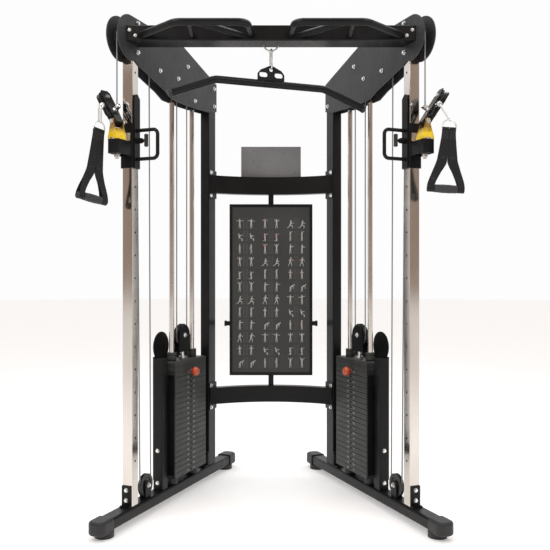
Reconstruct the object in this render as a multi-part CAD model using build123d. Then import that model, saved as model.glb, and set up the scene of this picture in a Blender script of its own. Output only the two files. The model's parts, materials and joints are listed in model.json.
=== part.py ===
from build123d import *
import os
from math import cos, radians, sin

# Functional trainer, in millimetres. +Z is up, +X is to the user's right, and the user
# stands at -Y facing the machine. The origin is on the floor, at the centre of the machine.
#
# Each side frame is drawn in its own axes: x is inward (t), y is rearward along the base
# rail (s) and z is up. The left side is placed with SIDE_PLACE and the right is its mirror.

# ---- side frame ---------------------------------------------------------------------
SIDE_ANGLE = 22.0
FRONT_PAD_X = -690.0
FRONT_PAD_Y = -533.1
RAIL_WIDTH = 70.0
RAIL_BOTTOM = 25.0
RAIL_TOP = 75.0
RAIL_START = -50.0
RAIL_END = 1200.0
RAIL_WALL = 3.0
RAIL_RADIUS = 10.0
CAP_WALL = 5.0
CAP_LENGTH = 60.0
CAP_OVERHANG = 25.0
CAP_END_RADIUS = 30.0
CAP_RADIUS = 13.0
PAD_DIAMETER = 80.0
PAD_FRONT = 0.0
PAD_REAR = 1150.0

# ---- uprights -----------------------------------------------------------------------
TUBE = 50.0
HALF = TUBE / 2
FRONT_UPRIGHT_START = 168.0
FRONT_UPRIGHT_END = 218.0
FRONT_UPRIGHT_TOP = 2035.0
UPRIGHT_CENTRE = (FRONT_UPRIGHT_START + FRONT_UPRIGHT_END) / 2
UPRIGHT_WALL = 2.5
HOLE_DIAMETER = 10.0
HOLE_FIRST = 270.0
HOLE_PITCH = 100.0
HOLE_COUNT = 18
REAR_UPRIGHT_START = 903.0
REAR_UPRIGHT_END = 983.0
REAR_UPRIGHT_TOP = 2107.0
REAR_WALL = 3.0

# ---- top side plates ----------------------------------------------------------------
PLATE = 5.0
PLATE_OUT = HALF + PLATE
NOSE_CENTRE = (150.0, 2110.0)
NOSE_RADIUS = 97.0
PLATE_TOP = 2207.0
ROD_STRIP_BOTTOM = 1960.0
ROD_STRIP_TOP = 1975.0
PLATE_BOLTS = [(394, 2030), (564, 2036), (661, 2120), (735, 1966), (204, 2060), (204, 2188),
               (150, 2105), (955, 2078), (955, 1985)]

# ---- pulleys, as (s, z) centres and the radius of the cable's centre line -------------
CABLE = 6.0
AXLE = 12.0
AXLE_FIT = 0.1
HUB_HALF = 8.0
SPACER_DIAMETER = 20.0
NOSE_PULLEY = (150.0, 2105.0, 60.0)
LIFT_IDLER = (661.0, 2120.0, 45.0)
RETURN_IDLER = (564.0, 2036.0, 40.0)
DROP_IDLER = (394.0, 2030.0, 46.0)
BOTTOM_PULLEY = (316.0, 130.0, 45.0)
LIFT_PULLEY = (655.0, 785.0, 51.0)
GROOVE_LIP = 6.0

# ---- weight stack -------------------------------------------------------------------
ROD = 25.0
ROD_FRONT = 555.0
ROD_REAR = 759.0
STACK_START = 502.0
STACK_END = 818.0
STACK_MIDDLE = (STACK_START + STACK_END) / 2
STACK_HALF = 50.0
STACK_BOTTOM = 112.0
PLATE_PITCH = 25.4
PLATE_THICK = 24.6
PLATE_COUNT = 20
HEAD_BOTTOM = STACK_BOTTOM + PLATE_COUNT * PLATE_PITCH
HEAD_TOP = 668.0
ROD_CLEAR = 27.0
SELECTOR_ROD = 24.0
SELECTOR_CLEAR = 30.0
PIN_DIAMETER = 9.5
KNOB_RADIUS = 22.0
KNOB_OUT = 24.0
PIN_HOLE = 12.0
BUSHING_TOP = 708.0
LIFT_TOP = 836.0
BUMPER_DIAMETER = 60.0
POST_START = 425.0
POST_TOP = 690.0
SHROUD_T = -66.0
SHROUD_SHEET = 4.0
SHROUD_TOP = 690.0
LOBE = (563.0, 735.0, 72.0)

# ---- trolley ------------------------------------------------------------------------
PIN_HEIGHT = 1670.0
SLEEVE_BOTTOM = 1550.0
SLEEVE_TOP = 1744.0
SLEEVE_CLEAR = 0.4
SLEEVE_WALL = 5.6
GUIDE_TOP = 1873.0
GUIDE_PLATE = 5.0
LOOP_ROD = 16.0
LOOP_TOP = 1715.0
LOOP_BOTTOM = 1590.0
LOOP_REACH = 138.0
BOX_FRONT = 60.0
BOX_HALF = 27.0
BOX_BOTTOM = 1600.0
BOX_TOP = 1660.0
PIVOT_S = NOSE_PULLEY[0] - NOSE_PULLEY[2]
PIVOT_PIN = 16.0
LUG_S = 250.0

# ---- swivel -------------------------------------------------------------------------
SWIVEL_GAP = 0.3
FOOT_PIN_HEIGHT = 1735.0
ARM_LEAN = 32.0
ARM_GAP = 14.0
ARM_PLATE = 4.0
SWIVEL_LINE = 29.5
LOWER_PULLEY = (6.0, 50.0)
UPPER_PULLEY = (14.0, 122.0)
STOP_BALL = 12.0
STOP_SEAT = (43.0, 83.5)
STOP_EYE = (60.0, 74.0)
LEFT_SWIVEL_YAW = 40.0
RIGHT_SWIVEL_YAW = 15.0

# ---- strap handles ------------------------------------------------------------------
HOOK_WIRE = 7.0
RING_WIRE = 6.0
RING_ARCH = 36.0
HOOK_GAP = 0.4
BAR_HEIGHT = 1699.0
STRAP_WIDTH = 60.0
STRAP_NECK = 24.0
STRAP_THICK = 8.0
LEG_WIDTH = 28.0
GRIP_HALF = 77.0
GRIP_TUBE = 26.0
GRIP_FOAM = 36.0
LOOP_OUTER = 40.0
LEFT_HANDLE = dict(ring_x=-727.76, yaw=55.0, roll=7.5, grip_z=1405.0, hook_yaw=130.0)
RIGHT_HANDLE = dict(ring_x=747.28, yaw=0.0, roll=3.4, grip_z=1445.0, hook_yaw=75.0)

# ---- centre of the machine ----------------------------------------------------------
CROSSBAR_FRONT = -440.0
CROSSBAR_REAR = -340.0
CROSSBAR_BOTTOM = 2087.0
CROSSBAR_TOP = 2153.0
CROSSBAR_WALL = 3.0
GRIP_BAR = 30.0
BRACE_SAG = 80.0
BRACE_DEPTH = 45.0
BRACE_UPPER = (1520.0, 1614.0)
BRACE_LOWER = (397.0, 484.0)
SHELF_WIDTH = 325.0
SHELF_TOP = 1783.0
CHART_POST = 28.0
CHART_WIDTH = 445.0
CHART_BOTTOM = 546.0
CHART_TOP = 1464.0
CHART_FRONT = 352.0
CHART_DEPTH = 20.0
CHART_RIM = 15.0
STORAGE_ROD_Z = 821.0
STORAGE_ROD_HALF = 253.0
HANGER_RADIUS = 32.0
HANGER_WIRE = 8.0
HANGER_Y = -390.0
BAR_Z = 1912.0
BAR_DIAMETER = 32.0
BAR_STRAIGHT = 250.0
BAR_END = 450.0
BAR_DROP = 76.0
BAR_YAW = 19.5
HOOK_DROP = 66.0
BRACKET_HOLE = 17.0
BRACKET_GAP = 1.0

SIDE_PLACE = Pos(FRONT_PAD_X, FRONT_PAD_Y, 0) * Rot(0, 0, -SIDE_ANGLE)


# ---- helpers ------------------------------------------------------------------------
def block(x0, x1, y0, y1, z0, z1):
    """A box between two corners."""
    return Pos((x0 + x1) / 2, (y0 + y1) / 2, (z0 + z1) / 2) * Box(x1 - x0, y1 - y0, z1 - z0)


def rod_z(x, y, z0, z1, diameter):
    """An upright cylinder."""
    return Pos(x, y, (z0 + z1) / 2) * Cylinder(diameter / 2, z1 - z0)


def rod_x(y, z, x0, x1, diameter):
    """A cylinder along x."""
    return Pos((x0 + x1) / 2, y, z) * Rot(0, 90, 0) * Cylinder(diameter / 2, x1 - x0)


def rod_y(x, z, y0, y1, diameter):
    """A cylinder along y."""
    return Pos(x, (y0 + y1) / 2, z) * Rot(90, 0, 0) * Cylinder(diameter / 2, y1 - y0)


def rod_between(start, end, diameter):
    """A cylinder from one point to another."""
    start = Vector(*start)
    end = Vector(*end)
    middle = Plane(origin=(start + end) * 0.5, z_dir=end - start)
    return middle.location * Cylinder(diameter / 2, (end - start).length)


def bent_rod(points, radii, diameter):
    """A round bar along straight runs joined by arcs."""
    path = FilletPolyline(*points, radius=radii)
    start = Plane(origin=path @ 0, z_dir=path % 0)
    return sweep(start * Circle(diameter / 2), path)


def plate_tz(outline, x0, x1):
    """A flat plate with an (s, z) outline, between two values of t."""
    face = make_face(outline)
    side = Plane(origin=(x0, 0, 0), x_dir=(0, 1, 0), z_dir=(1, 0, 0))
    return extrude(side * face, amount=x1 - x0)


def pulley(line_radius, hub_half, bore):
    """A grooved pulley about x, with a thinner web between its hub and its rim."""
    groove = line_radius - CABLE / 2 - 0.05
    rim = line_radius + GROOVE_LIP
    web_inner = bore / 2 + 7
    web_outer = groove - 6
    web_half = hub_half - 3.5
    half = [(bore / 2, hub_half), (web_inner, hub_half), (web_inner + 1.5, web_half),
            (web_outer - 1.5, web_half), (web_outer, hub_half), (rim, hub_half),
            (rim, hub_half - 1.2), (groove, 2.6)]
    other = [(r, -x) for r, x in reversed(half)]
    profile = make_face(Polyline(*half, *other, close=True))
    wheel = revolve(Plane.XZ * profile, axis=Axis.Z)
    return Rot(0, 90, 0) * wheel


def solids_of(shapes):
    """All the solids in a shape or a list of shapes."""
    if not isinstance(shapes, (list, tuple)):
        shapes = [shapes]
    return [solid for shape in shapes for solid in shape.solids()]


written = []


def save(name, shapes):
    """Write one node, as one solid or as a group of separate solids."""
    solids = solids_of(shapes)
    shape = solids[0] if len(solids) == 1 else Compound(children=solids)
    export_step(shape, f"parts/{name}.step")
    written.append(name)


def on_left(shapes):
    """Side-frame shapes placed on the left."""
    return [SIDE_PLACE * solid for solid in solids_of(shapes)]


def on_right(shapes):
    """Side-frame shapes placed on the right, mirrored."""
    return [solid.mirror(Plane.YZ) for solid in on_left(shapes)]


def save_both(name, shapes):
    """One node on each side."""
    save("left_" + name, on_left(shapes))
    save("right_" + name, on_right(shapes))


def save_pair(name, shapes):
    """One node that holds the pieces of both sides."""
    save(name, on_left(shapes) + on_right(shapes))


# ---- base and uprights --------------------------------------------------------------
def make_base_rail():
    """The floor rail with the two ears that carry the bottom pulley."""
    half = RAIL_WIDTH / 2
    outer = block(-half, half, RAIL_START, RAIL_END, RAIL_BOTTOM, RAIL_TOP)
    outer = fillet(outer.edges().filter_by(Axis.Y), RAIL_RADIUS)
    wall = RAIL_WALL
    inner = block(-half + wall, half - wall, RAIL_START - 1, RAIL_END + 1,
                  RAIL_BOTTOM + wall, RAIL_TOP - wall)
    rail = outer - inner
    s, z, _ = BOTTOM_PULLEY
    for x0, x1 in ((-16, -12), (12, 16)):
        ear = block(x0, x1, s - 22, s + 22, RAIL_TOP - 1, z) + rod_x(s, z, x0, x1, 44)
        rail += ear - rod_x(s, z, x0 - 1, x1 + 1, AXLE)
    return rail


def round_the_end(cap, end):
    """The edges of a cap's top and bottom, apart from those at its open end."""
    inner = cap.faces().sort_by(Axis.Y)[-1 if end == 0 else 0]
    level = cap.edges().filter_by(Axis.Z, reverse=True)
    return [edge for edge in level if edge not in inner.edges()]


def make_rail_caps():
    """A moulded rubber cap and round foot at each end of the rail."""
    half = RAIL_WIDTH / 2 + CAP_WALL
    rail = block(-RAIL_WIDTH / 2, RAIL_WIDTH / 2, RAIL_START, RAIL_END, RAIL_BOTTOM, RAIL_TOP)
    rail = fillet(rail.edges().filter_by(Axis.Y), RAIL_RADIUS)
    front = block(-half, half, RAIL_START - CAP_OVERHANG, RAIL_START + CAP_LENGTH,
                  RAIL_BOTTOM - CAP_WALL, RAIL_TOP + CAP_WALL)
    rear = block(-half, half, RAIL_END - CAP_LENGTH, RAIL_END + CAP_OVERHANG,
                 RAIL_BOTTOM - CAP_WALL, RAIL_TOP + CAP_WALL)
    front = fillet(front.edges().filter_by(Axis.Z).group_by(Axis.Y)[0], CAP_END_RADIUS)
    rear = fillet(rear.edges().filter_by(Axis.Z).group_by(Axis.Y)[-1], CAP_END_RADIUS)
    front = fillet(round_the_end(front, 0), CAP_RADIUS)
    rear = fillet(round_the_end(rear, -1), CAP_RADIUS)
    front += rod_z(0, PAD_FRONT, 0, RAIL_BOTTOM, PAD_DIAMETER)
    rear += rod_z(0, PAD_REAR, 0, RAIL_BOTTOM, PAD_DIAMETER)
    return [front - rail, rear - rail]


def make_front_upright():
    """The plated square upright with its row of adjustment holes."""
    outer = block(-HALF, HALF, FRONT_UPRIGHT_START, FRONT_UPRIGHT_END, RAIL_TOP, FRONT_UPRIGHT_TOP)
    outer = fillet(outer.edges().filter_by(Axis.Z), 4)
    wall = UPRIGHT_WALL
    inner = block(-HALF + wall, HALF - wall, FRONT_UPRIGHT_START + wall, FRONT_UPRIGHT_END - wall,
                  RAIL_TOP - 1, FRONT_UPRIGHT_TOP + 1)
    upright = outer - inner
    for k in range(HOLE_COUNT):
        z = HOLE_FIRST + k * HOLE_PITCH
        upright -= rod_x(UPRIGHT_CENTRE, z, 0, HALF + 1, HOLE_DIAMETER)
    return upright


def make_rear_upright():
    outer = block(-HALF, HALF, REAR_UPRIGHT_START, REAR_UPRIGHT_END, RAIL_TOP, REAR_UPRIGHT_TOP)
    outer = fillet(outer.edges().filter_by(Axis.Z), 5)
    wall = REAR_WALL
    inner = block(-HALF + wall, HALF - wall, REAR_UPRIGHT_START + wall, REAR_UPRIGHT_END - wall,
                  RAIL_TOP - 1, REAR_UPRIGHT_TOP - wall)
    return outer - inner


def side_plate_outline():
    """The outline of the top side plates, nose at the front, in (s, z)."""
    s, z = NOSE_CENTRE
    r = NOSE_RADIUS
    top = (s, PLATE_TOP)
    chin = (s + r * sin(radians(22)), z - r * cos(radians(22)))
    nose = ThreePointArc(top, (s - r, z), chin)
    edge = Polyline(chin, (214, 2007), (443, 1949), (511, 1924), (680, 1926), (901, 1941),
                    (985, 1961), (985, 2107), (975, 2110), (620, PLATE_TOP), top)
    return nose + edge


def make_side_plates():
    """Outer and inner top plates, and the strip between them that holds the guide rods."""
    outline = side_plate_outline()
    outer = plate_tz(outline, -PLATE_OUT, -HALF)
    inner = plate_tz(outline, HALF, PLATE_OUT)
    strip = block(-HALF, HALF, ROD_FRONT - 22, ROD_REAR + 22, ROD_STRIP_BOTTOM, ROD_STRIP_TOP)
    s, _, r = LIFT_PULLEY
    for strand in (s - r, s + r):
        strip -= rod_z(0, strand, ROD_STRIP_BOTTOM - 1, ROD_STRIP_TOP + 1, 20)
    return [outer, inner, strip]


def make_foot_brackets():
    """Bent plates that bolt the front and rear uprights to the rail."""
    s = FRONT_UPRIGHT_START
    front = block(-24, 24, s - 6, s, RAIL_TOP, 165) + block(-24, 24, s - 24, s, RAIL_TOP, 81)
    s = REAR_UPRIGHT_START
    rear = block(-24, 24, s - 6, s, RAIL_TOP, 150) + block(-24, 24, s - 42, s, RAIL_TOP, 81)
    return [front, rear]


# ---- guide rods and weight stack -----------------------------------------------------
def make_guide_rods():
    return [rod_z(0, s, RAIL_TOP, ROD_STRIP_BOTTOM, ROD) for s in (ROD_FRONT, ROD_REAR)]


def make_stack_bumpers():
    """Rubber bumpers that the bottom plate rests on."""
    bumpers = []
    for s in (ROD_FRONT, ROD_REAR):
        ring = rod_z(0, s, RAIL_TOP, STACK_BOTTOM, BUMPER_DIAMETER)
        bumpers.append(ring - rod_z(0, s, RAIL_TOP - 1, STACK_BOTTOM + 1, ROD))
    return bumpers


def weight_plate(bottom):
    """One cast plate, drilled for the rods, the selector rod and the selector pin."""
    plate = block(-STACK_HALF, STACK_HALF, STACK_START, STACK_END, bottom, bottom + PLATE_THICK)
    for s in (ROD_FRONT, ROD_REAR):
        plate -= rod_z(0, s, bottom - 1, bottom + PLATE_PITCH, ROD_CLEAR)
    plate -= rod_z(0, STACK_MIDDLE, bottom - 1, bottom + PLATE_PITCH, SELECTOR_CLEAR)
    middle = bottom + PLATE_THICK / 2
    return plate - rod_x(STACK_MIDDLE, middle, 0, STACK_HALF + 1, PIN_HOLE)


def make_weight_plates():
    """The plates that stay down when the pin is in the first plate."""
    first = weight_plate(STACK_BOTTOM)
    return [Pos(0, 0, k * PLATE_PITCH) * first for k in range(PLATE_COUNT - 1)]


def make_stack_head():
    """The head casting with its rod bushings, the first plate and the selector rod."""
    first_bottom = HEAD_BOTTOM - PLATE_PITCH
    casting = block(-STACK_HALF, STACK_HALF, STACK_START, STACK_END, HEAD_BOTTOM, HEAD_TOP)
    casting = chamfer(casting.edges().group_by(Axis.Z)[-1], 4)
    for s in (ROD_FRONT, ROD_REAR):
        casting += rod_z(0, s, HEAD_TOP - 1, BUSHING_TOP, 46)
        casting -= rod_z(0, s, HEAD_BOTTOM - 1, BUSHING_TOP + 1, ROD + 0.2)
    first = weight_plate(first_bottom)
    bar = rod_z(0, STACK_MIDDLE, STACK_BOTTOM + 6, HEAD_BOTTOM, SELECTOR_ROD)
    for k in range(PLATE_COUNT):
        z = STACK_BOTTOM + k * PLATE_PITCH + PLATE_THICK / 2
        bar -= rod_x(STACK_MIDDLE, z, -SELECTOR_ROD, SELECTOR_ROD, PIN_HOLE)
    return [casting + bar, Pos(0, 0, PLATE_PITCH - PLATE_THICK) * first]


def make_lift_block():
    """The bracket above the stack that carries the lift pulley, with its stem and nut."""
    s, z, r = LIFT_PULLEY
    cheeks = []
    for x0, x1 in ((-18, -13), (13, 18)):
        cheek = block(x0, x1, s - 56, s + 56, 712, z) + rod_x(s, z, x0, x1, 2 * (LIFT_TOP - z))
        cheeks.append(cheek)
    bracket = cheeks[0] + cheeks[1] + block(-18, 18, s - 56, s + 56, 704, 712)
    axle = rod_x(s, z, -24, 24, AXLE)
    for x0, x1 in ((-13, -HUB_HALF - AXLE_FIT), (HUB_HALF + AXLE_FIT, 13)):
        axle += rod_x(s, z, x0, x1, SPACER_DIAMETER)
    stem = rod_z(0, STACK_MIDDLE, HEAD_TOP, 704, 20) + rod_z(0, STACK_MIDDLE, HEAD_TOP, 680, 34)
    return bracket + axle + stem


def make_selector_pin():
    """The pull pin with a round knob, through the first plate."""
    z = HEAD_BOTTOM - PLATE_THICK / 2
    centre = STACK_HALF + KNOB_OUT
    shaft = rod_x(STACK_MIDDLE, z, -14, STACK_HALF + 8, PIN_DIAMETER)
    collar = rod_x(STACK_MIDDLE, z, STACK_HALF + 1.5, centre, 26)
    knob = Pos(centre, STACK_MIDDLE, z) * Sphere(KNOB_RADIUS)
    half = KNOB_RADIUS + 5
    knob -= block(centre + KNOB_RADIUS * 0.75, centre + half, STACK_MIDDLE - half, STACK_MIDDLE + half,
                  z - half, z + half)
    return shaft + collar + knob


def make_stack_post():
    """The short square post in front of the stack."""
    outer = block(-HALF, HALF, POST_START, POST_START + TUBE, RAIL_TOP, POST_TOP)
    outer = fillet(outer.edges().filter_by(Axis.Z), 4)
    wall = UPRIGHT_WALL
    inner = block(-HALF + wall, HALF - wall, POST_START + wall, POST_START + TUBE - wall,
                  RAIL_TOP - 1, POST_TOP - wall)
    return outer - inner


def make_stack_shroud():
    """The outer guard of the stack, with its front return and its rounded head."""
    t = SHROUD_T
    sheet = SHROUD_SHEET
    s, z, r = LOBE
    start = STACK_START - 12
    outer = block(t, t + sheet, start, 862, 100, SHROUD_TOP)
    lobe = rod_x(s, z, t, t + sheet, 2 * r)
    front = block(t, STACK_HALF + 2, start, start + sheet, 130, 606)
    spacer = block(-20, 20, POST_START + TUBE, start, 560, 600)
    return outer + lobe + front + spacer


# ---- bolts and axles ----------------------------------------------------------------
def bolt_x(s, z, t, outward):
    """A washer and a hex head on a face across x, facing in the outward direction."""
    washer = rod_x(s, z, min(t, t + 2 * outward), max(t, t + 2 * outward), 21)
    head = Plane(origin=(t + 2 * outward, s, z), x_dir=(0, 1, 0), z_dir=(outward, 0, 0))
    return washer + extrude(head * RegularPolygon(8, 6), amount=7)


def bolt_y(t, z, s):
    """A washer and a hex head on a forward face."""
    washer = rod_y(t, z, s - 2, s, 19)
    head = Plane(origin=(t, s - 2, z), x_dir=(1, 0, 0), z_dir=(0, -1, 0))
    return washer + extrude(head * RegularPolygon(7.5, 6), amount=6)


def make_side_bolts():
    bolts = [bolt_x(s, z, PLATE_OUT, 1) for s, z in PLATE_BOLTS]
    bolts += [bolt_x(s, z, -PLATE_OUT, -1) for s, z in PLATE_BOLTS]
    s, z, _ = BOTTOM_PULLEY
    bolts += [bolt_x(s, z, 16, 1), bolt_x(s, z, -16, -1)]
    bolts += [bolt_y(0, z, FRONT_UPRIGHT_START - 6) for z in (103, 147)]
    bolts += [bolt_y(0, z, REAR_UPRIGHT_START - 6) for z in (101, 134)]
    bolts += [bolt_y(0, z, POST_START) for z in (109, 260)]
    for low, high in (BRACE_UPPER, BRACE_LOWER):
        bolts += [bolt_x(REAR_UPRIGHT_START + 12, z, HALF + 6, 1) for z in (low - 14, high + 14)]
    return bolts


def pulley_axle(centre, half, diameter=AXLE):
    """A stepped axle between two plates, with spacers beside the pulley's hub."""
    s, z, _ = centre
    axle = rod_x(s, z, -half, half, diameter)
    if half > HUB_HALF + 1:
        for x0, x1 in ((-half, -HUB_HALF - AXLE_FIT), (HUB_HALF + AXLE_FIT, half)):
            axle += rod_x(s, z, x0, x1, SPACER_DIAMETER)
    return axle


def make_pulley_axles():
    axles = [pulley_axle(centre, HALF)
             for centre in (NOSE_PULLEY, LIFT_IDLER, RETURN_IDLER, DROP_IDLER)]
    return axles + [pulley_axle(BOTTOM_PULLEY, 12)]


def placed_pulley(centre):
    s, z, r = centre
    return Pos(0, s, z) * pulley(r, HUB_HALF, AXLE + AXLE_FIT)


# ---- cables -------------------------------------------------------------------------
def arc_points(centre, start, end):
    """Start, middle and end points of an arc round a pulley, angles in degrees in (s, z)."""
    s, z, r = centre
    return [(0, s + r * cos(radians(a)), z + r * sin(radians(a)))
            for a in (start, (start + end) / 2, end)]


def cable_arc(centre, start, end):
    """The cable where it lies in a pulley's groove."""
    path = ThreePointArc(*arc_points(centre, start, end))
    plane = Plane(origin=path @ 0, z_dir=path % 0)
    return sweep(plane * Circle(CABLE / 2), path)


def make_cables():
    """The cable of one side, as the straight strands and the wraps between them."""
    nose_s, nose_z, nose_r = NOSE_PULLEY
    idler_s, idler_z, idler_r = LIFT_IDLER
    ret_s, ret_z, ret_r = RETURN_IDLER
    drop_s, drop_z, drop_r = DROP_IDLER
    low_s, low_z, low_r = BOTTOM_PULLEY
    lift_s, lift_z, lift_r = LIFT_PULLEY
    top = nose_z + nose_r
    middle = ret_z + ret_r
    d = CABLE
    wraps = [cable_arc(NOSE_PULLEY, 180, 90), cable_arc(LIFT_IDLER, 90, 0),
             cable_arc(RETURN_IDLER, 0, 90), cable_arc(DROP_IDLER, 90, 180)]
    runs = [rod_y(0, top, nose_s, idler_s, d), rod_y(0, middle, drop_s, ret_s, d),
            rod_z(0, nose_s - nose_r, 1806, nose_z, d),
            rod_z(0, lift_s + lift_r, lift_z, idler_z, d),
            rod_z(0, lift_s - lift_r, lift_z, ret_z, d),
            rod_between((0, drop_s - drop_r, drop_z), (0, low_s + low_r, low_z), d),
            rod_between((0, low_s - low_r, low_z), (0, LUG_S, BOX_BOTTOM - 11), d)]
    return runs + wraps


# ---- trolley ------------------------------------------------------------------------
def make_trolley_sleeve():
    """The sliding sleeve, its tall guide plate, the swivel box, the pin barrel and the cable lug."""
    clear = HALF + SLEEVE_CLEAR
    half = clear + SLEEVE_WALL
    front = UPRIGHT_CENTRE - half
    rear = UPRIGHT_CENTRE + half
    sleeve = block(-half, half, front, rear, SLEEVE_BOTTOM, SLEEVE_TOP)
    sleeve = fillet(sleeve.edges().filter_by(Axis.Z), 5)
    guide = block(half, half + GUIDE_PLATE, 171, 215, SLEEVE_BOTTOM, GUIDE_TOP)
    guide = chamfer(guide.edges().filter_by(Axis.X).group_by(Axis.Z)[-1], 18)
    guide += block(clear, half + 1, 178, 208, SLEEVE_TOP - 1, GUIDE_TOP - 30)
    barrel = rod_x(UPRIGHT_CENTRE, PIN_HEIGHT, half, half + 28, 24)
    box = make_swivel_box(front)
    lug = block(-4, 4, rear - 1, LUG_S + 12, BOX_BOTTOM - 10, BOX_BOTTOM + 40)
    body = sleeve + guide + barrel + box + lug
    body -= block(-clear, clear, UPRIGHT_CENTRE - clear, UPRIGHT_CENTRE + clear,
                  SLEEVE_BOTTOM - 1, GUIDE_TOP + 1)
    body -= block(-16, 20, front - 1, UPRIGHT_CENTRE, BOX_TOP + 6, BOX_TOP + 44)
    return body - rod_x(UPRIGHT_CENTRE, PIN_HEIGHT, 0, half + 60, HOLE_DIAMETER)


def make_swivel_box(rear):
    """The bearing box in front of the sleeve, open underneath, with a bored boss."""
    box = block(-BOX_HALF, BOX_HALF, BOX_FRONT, rear + 1, BOX_BOTTOM, BOX_TOP)
    box = fillet(box.edges().filter_by(Axis.Z).group_by(Axis.Y)[0], 5)
    box -= block(-BOX_HALF + 5, BOX_HALF - 5, BOX_FRONT + 5, rear - 4, BOX_BOTTOM - 1, BOX_TOP - 8)
    box += rod_z(0, PIVOT_S, BOX_BOTTOM, BOX_TOP - 4, 32)
    return box - rod_z(0, PIVOT_S, BOX_BOTTOM - 1, BOX_TOP + 1, PIVOT_PIN + AXLE_FIT)


def make_trolley_handle():
    """The bent rod handle on the inner side of the trolley."""
    start = HALF + SLEEVE_CLEAR + SLEEVE_WALL + GUIDE_PLATE
    s = UPRIGHT_CENTRE
    points = [(start, s, LOOP_TOP), (LOOP_REACH, s, LOOP_TOP), (LOOP_REACH, s, LOOP_BOTTOM),
              (start, s, LOOP_BOTTOM)]
    return bent_rod(points, 22, LOOP_ROD)


def make_pop_pin():
    """The spring pin with a T handle that locks the trolley to a hole."""
    inner = HALF + 0.2
    barrel_end = HALF + SLEEVE_CLEAR + SLEEVE_WALL + 28
    grip = barrel_end + 22
    pin = rod_x(UPRIGHT_CENTRE, PIN_HEIGHT, inner, grip, PIN_DIAMETER)
    pin += rod_x(UPRIGHT_CENTRE, PIN_HEIGHT, barrel_end + 0.5, barrel_end + 6, 18)
    return pin + rod_z(grip, UPRIGHT_CENTRE, PIN_HEIGHT - 27, PIN_HEIGHT + 27, 15)


# ---- swivel, drawn with x outward, y forward and the pivot on the z axis --------------
def swivel_place(yaw):
    """Where a left swivel stands when it is turned outward by yaw degrees."""
    pivot = SIDE_PLACE * Pos(0, PIVOT_S, 0)
    return Pos(pivot.position.X, pivot.position.Y, 0) * Rot(0, 0, 180 - yaw)


def arm_place():
    """The arm's own axes, leaning outward from the foot's bolt."""
    return Pos(0, 0, FOOT_PIN_HEIGHT) * Rot(0, ARM_LEAN, 0)


def make_swivel_foot():
    """The turning foot, with its pivot pin below and the arm's bolt above."""
    base = BOX_TOP + SWIVEL_GAP
    foot = rod_z(0, 0, base, base + 6, 62) + rod_z(0, 0, BOX_BOTTOM - 8, base, PIVOT_PIN)
    foot += rod_z(0, 0, BOX_BOTTOM - 14, BOX_BOTTOM - SWIVEL_GAP, 26)
    foot += rod_z(0, 0, BOX_BOTTOM - 22, BOX_BOTTOM - 14, 14)
    apex = FOOT_PIN_HEIGHT + 13
    cheek_plane = Plane(origin=(0, 22, 0), x_dir=(-1, 0, 0), z_dir=(0, 1, 0))
    outline = Polyline((-29, base + 5), (29, base + 5), (26, base + 18), (13, FOOT_PIN_HEIGHT - 14),
                       (11, apex), (-11, apex), (-13, FOOT_PIN_HEIGHT - 14), (-26, base + 18),
                       close=True)
    cheek = extrude(cheek_plane * make_face(outline), amount=5)
    foot += cheek + cheek.mirror(Plane.XZ)
    foot += block(-29, 29, -27, 27, base + 0.5, base + 6)
    web = Polyline((29, base + 5), (26, base + 18), (18, base + 47), (14, base + 47),
                   (22, base + 18), (25, base + 5), close=True)
    foot += extrude(cheek_plane * make_face(web), amount=-44)
    foot += rod_y(0, FOOT_PIN_HEIGHT, -32, 32, AXLE)
    foot += rod_y(0, FOOT_PIN_HEIGHT, 27, 34, 19) + rod_y(0, FOOT_PIN_HEIGHT, -34, -27, 19)
    return foot


def make_swivel_arm():
    """Two leaning plates with the axles of the two guide pulleys and the cable guide."""
    outline = Polyline((-18, -12), (18, -12), (24, 40), (38, 108), (38, 146), (30, 158),
                       (-2, 158), (-12, 146), (-18, 60), close=True)
    face = Plane(origin=(ARM_GAP, 0, 0), x_dir=(0, 1, 0), z_dir=(1, 0, 0)) * make_face(outline)
    plate = extrude(face, amount=ARM_PLATE)
    arm = plate + plate.mirror(Plane.YZ)
    arm += block(-ARM_GAP, ARM_GAP, -21.5, 21.5, -12, 12)
    outer = ARM_GAP + ARM_PLATE + 6
    for y, h in (LOWER_PULLEY, UPPER_PULLEY):
        arm += rod_x(y, h, -outer, outer, AXLE)
        arm += rod_x(y, h, ARM_GAP + ARM_PLATE, outer, 19)
        arm += rod_x(y, h, -outer, -ARM_GAP - ARM_PLATE, 19)
        arm += rod_x(y, h, HUB_HALF + AXLE_FIT, ARM_GAP, SPACER_DIAMETER)
        arm += rod_x(y, h, -ARM_GAP, -HUB_HALF - AXLE_FIT, SPACER_DIAMETER)
    arm += block(-48, -ARM_GAP, -9, 9, 46, 62)
    arm -= rod_y(0, 0, -30, 30, AXLE + AXLE_FIT)
    leaning = arm_place() * arm
    return leaning - rod_z(0, 0, 1760, 1830, CABLE + 3)


def make_swivel_pulley(centre):
    y, h = centre
    wheel = pulley(SWIVEL_LINE, HUB_HALF, AXLE + AXLE_FIT)
    return arm_place() * Pos(0, y, h) * wheel


# ---- strap handle, drawn with its ring bar along x at the origin ----------------------
def arm_point(yaw, centre):
    """A point in the arm's middle plane, for the left side."""
    return (swivel_place(yaw) * arm_place() * Pos(0, *centre)).position


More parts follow.
